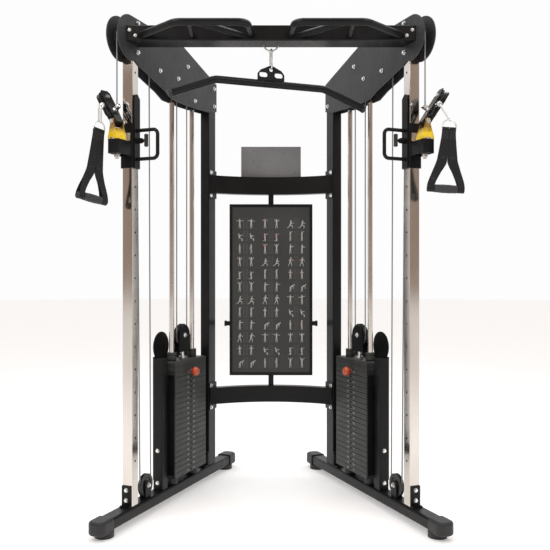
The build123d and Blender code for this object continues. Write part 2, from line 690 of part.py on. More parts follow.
def make_snap_hook(seat, eye, ring, handle):
    """The cable's stop with its eye plate, the spring hook and the D-ring, in a chain."""
    turn = Rot(0, 0, handle["hook_yaw"])
    place = Pos(*eye)
    hole = HOOK_WIRE / 2 + 1.5
    rise = hole - HOOK_WIRE / 2 - HOOK_GAP
    plate = place * Pos(0, 0, rise) * turn * rod_x(0, 0, -2, 2, 2 * hole + 9)
    stop = Pos(*seat) * Sphere(STOP_BALL) + rod_between(seat, eye + Vector(0, 0, rise), 12) + plate
    stop -= place * Pos(0, 0, rise) * turn * rod_x(0, 0, -9, 9, 2 * hole)
    ring_place = handle_place(ring, handle)
    top = (ring_place * Pos(0, 0, RING_ARCH)).position
    down = top - eye
    length = down.length + RING_WIRE / 2 + HOOK_WIRE / 2 + HOOK_GAP
    across = Vector(cos(radians(handle["hook_yaw"])), sin(radians(handle["hook_yaw"])), 0)
    across = across - down.normalized() * across.dot(down.normalized())
    frame = Plane(origin=eye, x_dir=across, z_dir=down * -1)
    return [stop, frame.location * spring_hook(length, HOOK_WIRE), ring_place * make_d_ring()]


def handle_place(ring, handle):
    """The handle's axes: x along the ring bar, z up the strap."""
    return Pos(*ring) * Rot(0, 0, handle["yaw"]) * Rot(0, handle["roll"], 0)


def make_d_ring():
    """A straight bar closed by an arch."""
    half = STRAP_WIDTH / 2 - 1.5
    arch = ThreePointArc((-half, 0, 0), (0, 0, RING_ARCH), (half, 0, 0))
    ring = sweep(Plane(origin=arch @ 0, z_dir=arch % 0) * Circle(RING_WIRE / 2), arch)
    ring += rod_x(0, 0, -half, half, RING_WIRE)
    for x in (-half, half):
        ring += Pos(x, 0, 0) * Sphere(RING_WIRE / 2 + 0.3)
    return ring


def spring_hook(length, wire, radius=11.0):
    """A closed spring hook in the xz plane, hanging from its top at the origin."""
    top = ThreePointArc((-radius, 0, -radius), (0, 0, 0), (radius, 0, -radius))
    low = ThreePointArc((radius, 0, radius - length), (0, 0, -length), (-radius, 0, radius - length))
    body = None
    for arc in (top, low):
        bend = sweep(Plane(origin=arc @ 0, z_dir=arc % 0) * Circle(wire / 2), arc)
        body = bend if body is None else body + bend
    for x in (-radius, radius):
        body += rod_z(x, 0, radius - length, -radius, wire)
    return body


def make_strap(drop):
    """The webbing: a broad top on the ring bar, two legs, and a loop round each grip end."""
    half = STRAP_WIDTH / 2
    outer = GRIP_HALF
    inner = GRIP_HALF - LEG_WIDTH
    right = [(STRAP_NECK, 8), (STRAP_NECK, -5), (half, -8), (half + 6, -90), (49, -drop + 112),
             (62, -drop + 69), (outer, -drop + 18), (outer, -drop), (inner, -drop),
             (inner, -drop + 22), (27, -drop + 69), (0, -drop + 112)]
    left = [(-x, z) for x, z in reversed(right[:-1])]
    plane = Plane(origin=(0, STRAP_THICK / 2, 0), x_dir=(-1, 0, 0), z_dir=(0, 1, 0))
    web = extrude(plane * make_face(Polyline(*right, *left, close=True)), amount=-STRAP_THICK)
    for x0, x1 in ((-outer, -inner), (inner, outer)):
        web += rod_x(0, -drop, x0, x1, LOOP_OUTER)
        web -= rod_x(0, -drop, x0 - 1, x1 + 1, GRIP_TUBE + 0.6)
    return web - rod_x(0, 0, -half - 2, half + 2, RING_WIRE + 0.8)


def make_grip(drop):
    """The foam grip on its tube."""
    foam_half = GRIP_HALF - LEG_WIDTH - 0.5
    grip = rod_x(0, -drop, -foam_half, foam_half, GRIP_FOAM)
    grip = fillet(grip.edges(), 4)
    return grip + rod_x(0, -drop, -GRIP_HALF, GRIP_HALF, GRIP_TUBE)


# ---- centre of the machine ----------------------------------------------------------
def side_cutters(t, z0, z1, s0=-300.0, s1=1300.0):
    """Blocks that fill everything outward of a plane at t, on both sides."""
    cutter = SIDE_PLACE * block(-700, t, s0, s1, z0, z1)
    return cutter, cutter.mirror(Plane.YZ)


def crossbar_envelope(inset=0.0):
    reach = 700
    return block(-reach, reach, CROSSBAR_FRONT + inset, CROSSBAR_REAR - inset,
                 CROSSBAR_BOTTOM + inset, CROSSBAR_TOP - inset)


def make_crossbar():
    envelope = crossbar_envelope()
    bar = fillet(envelope.edges().filter_by(Axis.X), 5) - crossbar_envelope(CROSSBAR_WALL)
    for cutter in side_cutters(PLATE_OUT, CROSSBAR_BOTTOM - 50, CROSSBAR_TOP + 50):
        bar -= cutter
    return bar


def make_pullup_grip():
    """The left bowed grip with its strut and its angled grip, cut to the crossbar's face."""
    z = 2115
    back = CROSSBAR_FRONT + 12
    bow = bent_rod([(-566, back, z - 6), (-392, -588, z), (-98, -588, z), (-84, back, z)],
                   [60, 42], GRIP_BAR)
    strut = rod_between((-337, -588, z), (-337, back, z - 8), 24)
    angled = rod_between((-308, -588, z), (-118, back, z - 4), 26)
    return bow + strut + angled - crossbar_envelope()


def make_rear_brace(low, high):
    """A curved tube between the rear uprights, with a bolted plate at each end."""
    middle = (REAR_UPRIGHT_START + REAR_UPRIGHT_END) / 2
    end = (SIDE_PLACE * Pos(HALF, middle, 0)).position
    half_chord = -end.X
    radius = (half_chord ** 2 + BRACE_SAG ** 2) / (2 * BRACE_SAG)
    centre_y = end.Y + BRACE_SAG - radius
    wall = REAR_WALL
    half = BRACE_DEPTH / 2
    ring = rod_z(0, centre_y, low, high, 2 * (radius + half))
    ring -= rod_z(0, centre_y, low - 1, high + 1, 2 * (radius - half))
    hollow = rod_z(0, centre_y, low + wall, high - wall, 2 * (radius + half - wall))
    hollow -= rod_z(0, centre_y, low, high, 2 * (radius - half + wall))
    brace = (ring - hollow) & block(-450, 450, end.Y - 120, end.Y + 200, low - 1, high + 1)
    for cutter in side_cutters(HALF + 6, low - 10, high + 10):
        brace -= cutter
    plate = SIDE_PLACE * block(HALF, HALF + 6, REAR_UPRIGHT_START, REAR_UPRIGHT_END,
                               low - 27, high + 27)
    return brace + plate + plate.mirror(Plane.YZ)


def brace_middle_y():
    middle = (REAR_UPRIGHT_START + REAR_UPRIGHT_END) / 2
    return (SIDE_PLACE * Pos(HALF, middle, 0)).position.Y + BRACE_SAG


def make_device_shelf():
    """The upright sheet on the upper brace, folded forward into a foot."""
    y = brace_middle_y()
    base = BRACE_UPPER[1]
    half = SHELF_WIDTH / 2
    sheet = block(-half, half, y + 2, y + 5, base, SHELF_TOP)
    return sheet + block(-half, half, y - 20, y + 5, base, base + 3)


def make_chart_post():
    """The post between the braces, with the storage rod across it."""
    y = brace_middle_y()
    half = CHART_POST / 2
    bottom = BRACE_LOWER[1]
    top = BRACE_UPPER[0]
    post = block(-half, half, y - half, y + half, bottom, top)
    post -= block(-half + 2, half - 2, y - half + 2, y + half - 2, bottom - 1, top + 1)
    for side in (-1, 1):
        near, far = sorted((side * half, side * STORAGE_ROD_HALF))
        post += rod_x(y, STORAGE_ROD_Z, near, far, 25)
        near, far = sorted((side * (STORAGE_ROD_HALF - 12), side * STORAGE_ROD_HALF))
        post += rod_x(y, STORAGE_ROD_Z, near, far, 31)
    return post


def make_chart_frame():
    """The chart's rim, with two standoffs to the post."""
    half = CHART_WIDTH / 2
    rear = CHART_FRONT + CHART_DEPTH
    rim = block(-half, half, CHART_FRONT, rear, CHART_BOTTOM, CHART_TOP)
    rim -= block(-half + CHART_RIM, half - CHART_RIM, CHART_FRONT - 1, rear + 1,
                 CHART_BOTTOM + CHART_RIM, CHART_TOP - CHART_RIM)
    back = block(-20, 20, rear - 4, rear, CHART_BOTTOM + CHART_RIM - 1, CHART_TOP - CHART_RIM + 1)
    for z in (CHART_BOTTOM + 90, CHART_TOP - 90):
        back += rod_y(0, z, rear - 1, brace_middle_y() - CHART_POST / 2, 20)
    return rim + back


def make_chart_board():
    half = CHART_WIDTH / 2 - CHART_RIM
    return block(-half, half, CHART_FRONT + 4, CHART_FRONT + 8,
                 CHART_BOTTOM + CHART_RIM, CHART_TOP - CHART_RIM)


def make_hanger():
    """The round eye bolt under the crossbar."""
    r = HANGER_RADIUS
    z = CROSSBAR_BOTTOM
    arc = ThreePointArc((-r, HANGER_Y, z), (0, HANGER_Y, z - r), (r, HANGER_Y, z))
    return sweep(Plane(origin=arc @ 0, z_dir=arc % 0) * Circle(HANGER_WIRE / 2), arc)


def bar_hook_top():
    return CROSSBAR_BOTTOM - HANGER_RADIUS + HANGER_WIRE / 2 + HOOK_WIRE / 2 + HOOK_GAP


def make_bar_hook():
    """The spring hook between the eye bolt and the hanging bar."""
    length = bar_hook_top() - (BAR_Z + HOOK_DROP)
    return Pos(0, HANGER_Y, bar_hook_top()) * Rot(0, 0, 90 + BAR_YAW) * spring_hook(length, HOOK_WIRE)


def make_hanging_bar():
    """The long bar with drooping ends, hung by a slotted bracket."""
    points = [(-BAR_END, 0, -BAR_DROP), (-BAR_STRAIGHT, 0, 0), (BAR_STRAIGHT, 0, 0),
              (BAR_END, 0, -BAR_DROP)]
    bar = bent_rod(points, 70, BAR_DIAMETER)
    plane = Plane(origin=(0, -3, 0), x_dir=(1, 0, 0), z_dir=(0, -1, 0))
    outline = Polyline((-61, 6), (61, 6), (61, 44), (48, 60), (24, 71), (10, 78), (-10, 78),
                       (-24, 71), (-48, 60), (-61, 44), close=True)
    bracket = extrude(plane * make_face(outline), amount=-6)
    for x in (-35, 35):
        slot = Pos(x, 0, 39) * Rot(90, 0, 0) * extrude(SlotOverall(38, 21), amount=10, both=True)
        bracket -= slot
    hole_z = HOOK_DROP + HOOK_WIRE / 2 + BRACKET_GAP - BRACKET_HOLE / 2
    bracket -= rod_y(0, hole_z, -10, 10, BRACKET_HOLE)
    return Pos(0, HANGER_Y, BAR_Z) * Rot(0, 0, BAR_YAW) * (bar + bracket)


# ---- write every node -----------------------------------------------------------------
def write_frame():
    save_pair("base_rails", make_base_rail())
    save_pair("rail_end_caps", make_rail_caps())
    save_pair("front_uprights", make_front_upright())
    save_pair("rear_uprights", make_rear_upright())
    save_pair("top_side_plates", make_side_plates())
    save("top_crossbar", make_crossbar())
    grip = make_pullup_grip()
    save("pullup_grips", [grip, grip.mirror(Plane.YZ)])
    save("rear_braces", [make_rear_brace(*BRACE_UPPER), make_rear_brace(*BRACE_LOWER)])
    save("device_shelf", make_device_shelf())
    save("chart_post", make_chart_post())
    save("chart_frame", make_chart_frame())
    save("chart_board", make_chart_board())
    save_pair("guide_rods", make_guide_rods())
    save_pair("stack_bumpers", make_stack_bumpers())
    save_pair("weight_plates", make_weight_plates())
    save_pair("stack_posts", make_stack_post())
    save_pair("stack_shrouds", make_stack_shroud())
    save_pair("foot_brackets", make_foot_brackets())
    bolts = make_side_bolts() + make_pulley_axles()
    save("frame_bolts", on_left(bolts) + on_right(bolts) + [make_hanger()])
    save_pair("cables", make_cables())


def write_pulleys():
    save_both("nose_pulley", placed_pulley(NOSE_PULLEY))
    save_both("lift_idler", placed_pulley(LIFT_IDLER))
    save_both("return_idler", placed_pulley(RETURN_IDLER))
    save_both("drop_idler", placed_pulley(DROP_IDLER))
    save_both("bottom_pulley", placed_pulley(BOTTOM_PULLEY))
    save_both("lift_pulley", placed_pulley(LIFT_PULLEY))


def write_moving_parts():
    save_both("stack_head", make_stack_head())
    save_both("lift_block", make_lift_block())
    save_both("selector_pin", make_selector_pin())
    save_both("trolley_sleeve", make_trolley_sleeve())
    save_both("trolley_handle", make_trolley_handle())
    save_both("pop_pin", make_pop_pin())


def write_swivel(side, yaw):
    place = swivel_place(yaw)
    pieces = {"swivel_foot": make_swivel_foot(), "swivel_arm": make_swivel_arm(),
              "swivel_pulley_lower": make_swivel_pulley(LOWER_PULLEY),
              "swivel_pulley_upper": make_swivel_pulley(UPPER_PULLEY)}
    for name, piece in pieces.items():
        placed = place * piece
        save(f"{side}_{name}", placed.mirror(Plane.YZ) if side == "right" else placed)


def write_handle(side, swivel_yaw, handle):
    seat = arm_point(swivel_yaw, STOP_SEAT)
    eye = arm_point(swivel_yaw, STOP_EYE)
    if side == "right":
        seat = Vector(-seat.X, seat.Y, seat.Z)
        eye = Vector(-eye.X, eye.Y, eye.Z)
    ring = (handle["ring_x"], eye.Y, BAR_HEIGHT)
    place = handle_place(ring, handle)
    drop = (BAR_HEIGHT - handle["grip_z"]) / cos(radians(handle["roll"]))
    save(f"{side}_snap_hook", make_snap_hook(seat, eye, ring, handle))
    save(f"{side}_handle_strap", place * make_strap(drop))
    save(f"{side}_handle_grip", place * make_grip(drop))


def write_hanging_bar():
    save("bar_hook", make_bar_hook())
    save("hanging_bar", make_hanging_bar())


def main():
    os.makedirs("parts", exist_ok=True)
    write_frame()
    write_pulleys()
    write_moving_parts()
    write_swivel("left", LEFT_SWIVEL_YAW)
    write_swivel("right", RIGHT_SWIVEL_YAW)
    write_handle("left", LEFT_SWIVEL_YAW, LEFT_HANDLE)
    write_handle("right", RIGHT_SWIVEL_YAW, RIGHT_HANDLE)
    write_hanging_bar()
    print(len(written), "nodes")


main()
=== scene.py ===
import json
import random
from math import cos, pi, radians, sin

import bmesh
import bpy
from mathutils import Matrix, Vector


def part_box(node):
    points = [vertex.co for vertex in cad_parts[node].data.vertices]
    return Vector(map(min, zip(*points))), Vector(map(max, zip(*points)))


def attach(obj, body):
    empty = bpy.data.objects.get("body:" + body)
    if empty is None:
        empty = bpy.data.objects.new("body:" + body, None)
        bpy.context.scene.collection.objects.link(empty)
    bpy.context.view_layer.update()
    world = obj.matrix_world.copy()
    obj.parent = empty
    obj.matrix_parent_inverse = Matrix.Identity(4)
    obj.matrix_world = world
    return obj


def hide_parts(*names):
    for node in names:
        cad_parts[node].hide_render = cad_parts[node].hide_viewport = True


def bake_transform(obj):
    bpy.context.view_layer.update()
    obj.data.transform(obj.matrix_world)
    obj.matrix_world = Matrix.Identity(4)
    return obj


# Looks for a functional trainer, in metres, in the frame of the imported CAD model: +Z is up,
# +X is to the right and the user stands at -Y. Places come from the joints in the record and
# from the extents of the CAD nodes.

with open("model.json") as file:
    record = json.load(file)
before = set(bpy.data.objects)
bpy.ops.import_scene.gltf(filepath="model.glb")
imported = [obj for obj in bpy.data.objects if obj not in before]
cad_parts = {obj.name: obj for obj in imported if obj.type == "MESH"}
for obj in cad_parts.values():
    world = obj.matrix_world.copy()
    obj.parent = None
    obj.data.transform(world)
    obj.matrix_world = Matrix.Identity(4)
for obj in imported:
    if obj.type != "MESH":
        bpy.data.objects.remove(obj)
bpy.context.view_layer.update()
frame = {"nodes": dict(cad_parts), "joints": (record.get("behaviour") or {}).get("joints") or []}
nodes = frame["nodes"]
joints = {joint["name"]: joint for joint in frame["joints"]}
random.seed(7)

# ---- camera and studio ----------------------------------------------------------------
CAMERA_BACK = 3.538
CAMERA_HEIGHT = 1.084
CAMERA_LENS = 47.45
CAMERA_SHIFT = 0.0073

# The machine stands in a pale studio: (name, place, target, size, power) of each soft light.
LIGHTS = [
    ("key", (-2.2, -2.6, 3.9), (0, 0, 1.1), (2.2, 2.2), 60),
    ("fill", (2.2, -2.6, 4.1), (0, 0, 1.1), (2.2, 2.2), 50),
    ("top", (0, 0.4, 4.2), (0, 0, 0), (3.0, 2.0), 40),
]
ROOM_COLOUR = (0.38, 0.302, 0.25, 1)
BACKDROP_COLOUR = (0.97, 0.97, 0.97, 1)
SEEN_COLOUR = (0.985, 0.985, 0.985, 1)
FLOOR_GLOW = 0.27

# ---- sizes that the CAD nodes share ---------------------------------------------------
CABLE_RADIUS = 0.003
GROOVE_LIP = 0.006
PLATE_PITCH = 0.0254
PLATES_BELOW = 19
GRIP_TUBE_RADIUS = 0.013
GRIP_HALF = 0.077
STRAP_WIDTH = 0.0275
STRAP_SHEET = 0.0022
PIN_HOLE_REACH = 0.0075
LIFT_CHEEK_HALF = 0.018
BAR_RADIUS = 0.016
PULL_BAR_RADIUS = 0.0075

# ---- where steel shows on painted nodes -----------------------------------------------
HUB_RADIUS = 0.0125
BOLT_RADIUS = 0.0105
KNOB_SEAT = 0.006
LIFT_STEM = 0.034
FOOT_PIN_REACH = 0.0272
FOOT_NUT_DROP = 0.0752
ARM_PLATE_REACH = 0.0182
BRONZE_START = 0.062
BRONZE_END = 0.036

# ---- small hardware, cables, marks and print ------------------------------------------
CROSSBAR_BOLT_SPREAD = 0.024
CROSSBAR_BOLT_INSET = 0.016
CROSSBAR_BOLT_SIZE = 0.0055
LIFT_BOLT_SIZE = 0.0095
PULL_GRIP_END = [(0.0006, 0.0), (0.0052, 0.0004), (0.0079, 0.0022), (0.0089, 0.0050)]
PULL_GRIP_OVERHANG = 0.0012
PULL_GRIP_RIB = 0.0005
CAP_WALL = 0.0012
GUIDE_RISE = 0.066
LUG_INSET = 0.012
LUG_DROP = 0.0715
NUMBER_SIZE = 0.0115
NUMBER_OFFSET = 0.030
PRINT_THICK = 0.0003
LINE_THICK = 0.0002

UP = Vector((0, 0, 1))
RIGHT = Vector((1, 0, 0))
FRONT = Vector((0, -1, 0))


def place_of(joint):
    """Where a joint's axis stands."""
    return Vector(joints[joint]["pos_m"])


def axis_of(joint):
    return Vector(joints[joint]["axis"]).normalized()


def side_axes(side):
    """The inward and rearward directions of a side frame."""
    inward = axis_of(side + "_nose_pulley_spin")
    rearward = UP.cross(inward)
    if side == "right":
        inward = -inward
    return inward, rearward


def extent(node, direction):
    """The least and greatest distance of a CAD node along a direction."""
    reach = [vertex.co.dot(direction) for vertex in nodes[node].data.vertices]
    return min(reach), max(reach)


def axes_matrix(x_axis, y_axis, z_axis, origin):
    """A matrix that takes local axes to the given ones."""
    matrix = Matrix((x_axis, y_axis, z_axis)).transposed().to_4x4()
    matrix.translation = origin
    return matrix


def standing(place, along):
    """A matrix at a place with its z axis along a direction."""
    across = along.orthogonal().normalized()
    return axes_matrix(across, along.cross(across), along, place)


# ---- materials ------------------------------------------------------------------------
class Finish:
    """A Principled material with its colour, roughness and bump worked out by nodes."""

    def __init__(self, name, **constants):
        self.material = bpy.data.materials.new(name)
        self.material.use_nodes = True
        self.tree = self.material.node_tree
        self.shader = self.tree.nodes["Principled BSDF"]
        for socket, value in constants.items():
            self.shader.inputs[socket.replace("_", " ")].default_value = value
        self.place = self.node("ShaderNodeTexCoord").outputs["Object"]

    def node(self, kind, **settings):
        made = self.tree.nodes.new(kind)
        for name, value in settings.items():
            setattr(made, name, value)
        return made

    def link(self, output, target):
        self.tree.links.new(output, target)

    def stretched(self, stretch):
        """Object coordinates scaled along each axis."""
        mapping = self.node("ShaderNodeMapping")
        self.link(self.place, mapping.inputs["Vector"])
        mapping.inputs["Scale"].default_value = stretch
        return mapping.outputs["Vector"]

    def noise(self, scale, detail=3.0, stretch=None):
        made = self.node("ShaderNodeTexNoise")
        made.inputs["Scale"].default_value = scale
        made.inputs["Detail"].default_value = detail
        self.link(self.stretched(stretch) if stretch else self.place, made.inputs["Vector"])
        return made.outputs["Fac"]

    def spots(self, scale):
        """Distance to scattered points, for pits and cells."""
        made = self.node("ShaderNodeTexVoronoi")
        made.inputs["Scale"].default_value = scale
        self.link(self.place, made.inputs["Vector"])
        return made.outputs["Distance"]

    def bands(self, scale, direction, distortion=0.0, stretch=None):
        made = self.node("ShaderNodeTexWave", bands_direction=direction)
        made.inputs["Scale"].default_value = scale
        made.inputs["Distortion"].default_value = distortion
        self.link(self.stretched(stretch) if stretch else self.place, made.inputs["Vector"])
        return made.outputs["Fac"]

    def ramp(self, factor, *stops):
        """Colours at positions from 0 to 1."""
        made = self.node("ShaderNodeValToRGB")
        while len(made.color_ramp.elements) < len(stops):
            made.color_ramp.elements.new(0.5)
        for element, (position, colour) in zip(made.color_ramp.elements, stops):
            element.position = position
            element.color = (*colour, 1)
        self.link(factor, made.inputs["Fac"])
        return made.outputs["Color"]

    def tones(self, factor, dark, light):
        """Two colours that meet softly over the middle of a noise."""
        return self.ramp(factor, (0.3, dark), (0.7, light))

    def math(self, operation, first, second):
        """A sum on a factor and a constant."""
        made = self.node("ShaderNodeMath", operation=operation)
        self.link(first, made.inputs[0])
        made.inputs[1].default_value = second
        return made.outputs["Value"]

    def height(self):
        """The height of a point in the model, in metres."""
        parts = self.node("ShaderNodeSeparateXYZ")
        self.link(self.place, parts.inputs["Vector"])
        return parts.outputs["Z"]

    def span(self, factor, low, high, start=0.3, end=0.7):
        """A number from low to high as the factor goes from start to end."""
        made = self.node("ShaderNodeMapRange")
        for socket, value in (("From Min", start), ("From Max", end), ("To Min", low), ("To Max", high)):
            made.inputs[socket].default_value = value
        self.link(factor, made.inputs["Value"])
        return made.outputs["Result"]

    def mixed(self, factor, first, second):
        """Two colours mixed by a factor."""
        made = self.node("ShaderNodeMix", data_type="RGBA")
        colour_a, colour_b = [socket for socket in made.inputs if socket.type == "RGBA"]
        self.link(factor, made.inputs[0])
        self.link(first, colour_a)
        self.link(second, colour_b)
        return next(socket for socket in made.outputs if socket.type == "RGBA")

    def edge(self, radius):
        """1 on sharp edges and 0 on flat faces."""
        bevel = self.node("ShaderNodeBevel", samples=4)
        bevel.inputs["Radius"].default_value = radius
        flat = self.node("ShaderNodeNewGeometry")
        dot = self.node("ShaderNodeVectorMath", operation="DOT_PRODUCT")
        self.link(bevel.outputs["Normal"], dot.inputs[0])
        self.link(flat.outputs["Normal"], dot.inputs[1])
        return self.span(dot.outputs["Value"], 1.0, 0.0, 0.86, 0.99)

    def finish(self, colour=None, roughness=None, bumps=(), edge=None, metallic=None):
        """Links the colour, the roughness and a chain of (height, strength, distance) bumps."""
        for output, socket in ((colour, "Base Color"), (roughness, "Roughness"), (metallic, "Metallic")):
            if output is not None:
                self.link(output, self.shader.inputs[socket])
        normal = None
        if edge is not None:
            rounded = self.node("ShaderNodeBevel", samples=4)
            rounded.inputs["Radius"].default_value = edge
            normal = rounded.outputs["Normal"]
        for height, strength, distance in bumps:
            bump = self.node("ShaderNodeBump")
            bump.inputs["Strength"].default_value = strength
            bump.inputs["Distance"].default_value = distance
            self.link(height, bump.inputs["Height"])
            if normal is not None:
                self.link(normal, bump.inputs["Normal"])
            normal = bump.outputs["Normal"]
        if normal is not None:
            self.link(normal, self.shader.inputs["Normal"])
        return self.material


def powder_coat(name, dark, light, worn, rough=(0.3, 0.42), radius=0.0008):
    """Satin powder coat: orange peel, soft mottling and a little wear along the edges."""
    coat = Finish(name, Coat_Weight=0.03, Coat_Roughness=0.25, Specular_IOR_Level=0.2)
    mottle = coat.noise(9, 5)
    paint = coat.tones(mottle, dark, light)
    scuffs = coat.noise(60, 6, stretch=(1, 1, 0.35))
    bare = coat.ramp(scuffs, (0.45, light), (0.72, worn))
    colour = coat.mixed(coat.edge(radius * 0.8), paint, bare)
    peel = coat.noise(1300, 2)
    return coat.finish(colour, coat.span(scuffs, *rough), [(peel, 0.10, 0.0004)], edge=radius)


def chrome_plate():
    """Bright plate with faint vertical draw lines and wiped smudges."""
    plate = Finish("chrome", Metallic=1.0)
    smudge = plate.noise(7, 6, stretch=(1, 1, 0.3))
    colour = plate.tones(smudge, (0.63, 0.58, 0.53), (0.75, 0.71, 0.665))
    lines = plate.noise(420, 2, stretch=(1, 1, 0.012))
    waves = plate.noise(5, 2, stretch=(1, 1, 0.5))
    rough = plate.span(smudge, 0.08, 0.15)
    return plate.finish(colour, rough, [(lines, 0.04, 0.0002), (waves, 0.06, 0.001)], edge=0.0005)


def clouded(name, dark, light, rough, cloud, grain, edge=None, smears=None, **constants):
    """Two close tones and one fine grain, given as (scale, detail, strength, distance).

    The roughness follows the same cloud as the colour, unless there are smears of its own."""
    skin = Finish(name, **constants)
    mist = skin.noise(*cloud)
    colour = skin.tones(mist, dark, light)
    wiped = skin.noise(*smears) if smears else mist
    scale, detail, strength, distance = grain
    return skin.finish(colour, skin.span(wiped, *rough), [(skin.noise(scale, detail), strength, distance)],
                       edge=edge)


def zinc_steel(name, dark, light, rough=(0.18, 0.36)):
    """Zinc-plated hardware, slightly clouded."""
    return clouded(name, dark, light, rough, (160, 4), (1500, 2, 0.03, 0.0001), 0.0004, Metallic=1.0)


def moulded(name, dark, light, rough, grain_scale=1400, grain=0.16, radius=0.0008):
    """Moulded plastic or rubber with a fine matt grain; also used for the painted shade inside the chromed
    tubes.
    """
    return clouded(name, dark, light, rough, (22, 5), (grain_scale, 2, grain, 0.0003), radius)


def ink(name, dark, light):
    """Screen-printed ink, slightly uneven."""
    return clouded(name, dark, light, (0.45, 0.65), (220, 4), (1500, 2, 0.1, 0.0002), smears=(500, 2))


def cast_iron():
    """Painted cast plates: a pebbled skin, paler rubbed edges, and painted shadow in a dark band at each
    gap between plates.
    """
    iron = Finish("stack_iron")
    cloud = iron.noise(14, 6)
    paint = iron.tones(cloud, (0.020, 0.023, 0.022), (0.036, 0.040, 0.038))
    rubbed = iron.ramp(iron.noise(90, 5), (0.4, (0.05, 0.054, 0.052)), (0.7, (0.11, 0.115, 0.11)))
    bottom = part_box("weight_plates")[0].z
    step = iron.math("DIVIDE", iron.math("SUBTRACT", iron.height(), bottom), PLATE_PITCH)
    seam = iron.math("PINGPONG", iron.math("ADD", step, 0.02), 0.5)
    shade = iron.span(seam, 0.0, 1.0, 0.045, 0.12)
    rims = iron.mixed(iron.edge(0.0009), paint, rubbed)
    # Near-black band at each plate joint: painted shadow standing for the shade in the gap between plates,
    # drawn wider than the real gap.
    gap_shadow = iron.ramp(shade, (0.0, (0.003, 0.003, 0.003)), (1.0, (0.012, 0.013, 0.013)))
    colour = iron.mixed(shade, gap_shadow, rims)
    bumps = [(shade, 0.9, 0.0015), (iron.spots(260), 0.2, 0.0006), (iron.noise(700, 3), 0.25, 0.0005)]
    return iron.finish(colour, iron.span(cloud, 0.42, 0.6), bumps, edge=0.0012)


def swivel_paint():
    """Yellow paint at the foot that turns to bronze plate at the top."""
    high = extent("left_swivel_foot", UP)[1]
    paint = Finish("yellow_paint", Coat_Weight=0.3, Coat_Roughness=0.18)
    level = paint.span(paint.height(), 0.0, 1.0, high - BRONZE_START, high - BRONZE_END)
    cloud = paint.noise(60, 5)
    yellow = paint.tones(cloud, (0.78, 0.50, 0.012), (0.92, 0.66, 0.03))
    bronze = paint.tones(cloud, (0.17, 0.085, 0.018), (0.42, 0.24, 0.05))
    colour = paint.mixed(level, yellow, bronze)
    return paint.finish(colour, paint.span(cloud, 0.24, 0.4), [(paint.noise(1100, 2), 0.12, 0.0003)],
                        edge=0.001, metallic=paint.span(level, 0.0, 0.55, 0.0, 1.0))


def cable_jacket():
    """Grey nylon over laid steel wire: the strands show through as a slow twist."""
    jacket = Finish("cable_jacket", Coat_Weight=0.4, Coat_Roughness=0.2)
    lay = jacket.bands(120, "DIAGONAL", 1.0, stretch=(1, 1, 0.6))
    colour = jacket.ramp(lay, (0.2, (0.13, 0.13, 0.135)), (0.8, (0.26, 0.26, 0.27)))
    return jacket.finish(colour, jacket.span(lay, 0.28, 0.42), [(lay, 0.35, 0.0004)])


def webbing(name, direction):
    """Woven nylon: ribs along the band, crossed by the weft, with a dull sheen."""
    web = Finish(name, Sheen_Weight=0.08, Sheen_Roughness=0.5, Specular_IOR_Level=0.3)
    rib = web.bands(210, direction, 0.4)
    weft = web.bands(330, "Z", 0.6)
    fuzz = web.noise(900, 4)
    colour = web.tones(web.noise(90, 5), (0.005, 0.005, 0.0055), (0.012, 0.012, 0.013))
    return web.finish(colour, web.span(fuzz, 0.62, 0.8),
                      [(rib, 0.5, 0.0006), (weft, 0.4, 0.0004), (fuzz, 0.3, 0.0003)])


def grip_foam():
    """Closed-cell foam: fine pores and a soft sheen."""
    foam = Finish("foam", Sheen_Weight=0.15, Sheen_Roughness=0.4)
    pores = foam.spots(620)
    colour = foam.tones(foam.noise(80, 5), (0.022, 0.022, 0.024), (0.042, 0.042, 0.045))
    return foam.finish(colour, foam.span(pores, 0.6, 0.78, 0.0, 0.6),
                       [(pores, 0.5, 0.0005), (foam.noise(1500, 3), 0.2, 0.0003)])


# ---- mesh helpers ---------------------------------------------------------------------
def piece(name, mesh, material, body=None, smooth=True):
    """A new object from a bmesh, riding on a body."""
    bmesh.ops.recalc_face_normals(mesh, faces=mesh.faces)
    data = bpy.data.meshes.new(name)
    mesh.to_mesh(data)
    mesh.free()
    data.materials.append(material)
    for polygon in data.polygons:
        polygon.use_smooth = smooth
    made = bpy.data.objects.new(name, data)
    bpy.context.scene.collection.objects.link(made)
    if body:
        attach(made, body)
    return made


def smooth_by_angle(made, degrees=35):
    """Keeps edges sharper than this angle, and shades the rest smooth."""
    data = made.data
    shape = bmesh.new()
    shape.from_mesh(data)
    for edge in shape.edges:
        edge.smooth = len(edge.link_faces) == 2 and edge.calc_face_angle(0) < radians(degrees)
    shape.to_mesh(data)
    shape.free()
    return made


def loft(mesh, rings, closed=False):
    """Faces between rings of points that all have the same count, its ends capped."""
    made = [[mesh.verts.new(point) for point in ring] for ring in rings]
    count = len(made[0])
    pairs = list(zip(made, made[1:]))
    if closed:
        pairs.append((made[-1], made[0]))
    for first, second in pairs:
        for k in range(count):
            after = (k + 1) % count
            mesh.faces.new((first[k], first[after], second[after], second[k]))
    if not closed:
        mesh.faces.new(made[0])
        mesh.faces.new(made[-1])


def tube(mesh, path, radius, sides=14, closed=False):
    """A round tube along a path of points."""
    rings = []
    count = len(path)
    across = None
    for k, point in enumerate(path):
        before = path[(k - 1) % count] if closed or k else path[0]
        after = path[(k + 1) % count] if closed or k < count - 1 else path[-1]
        along = (after - before).normalized()
        if across is None:
            across = along.orthogonal().normalized()
        across = (across - along * across.dot(along)).normalized()
        other = along.cross(across)
        rings.append([point + (across * cos(a) + other * sin(a)) * radius
                      for a in (2 * pi * n / sides for n in range(sides))])
    loft(mesh, rings, closed)


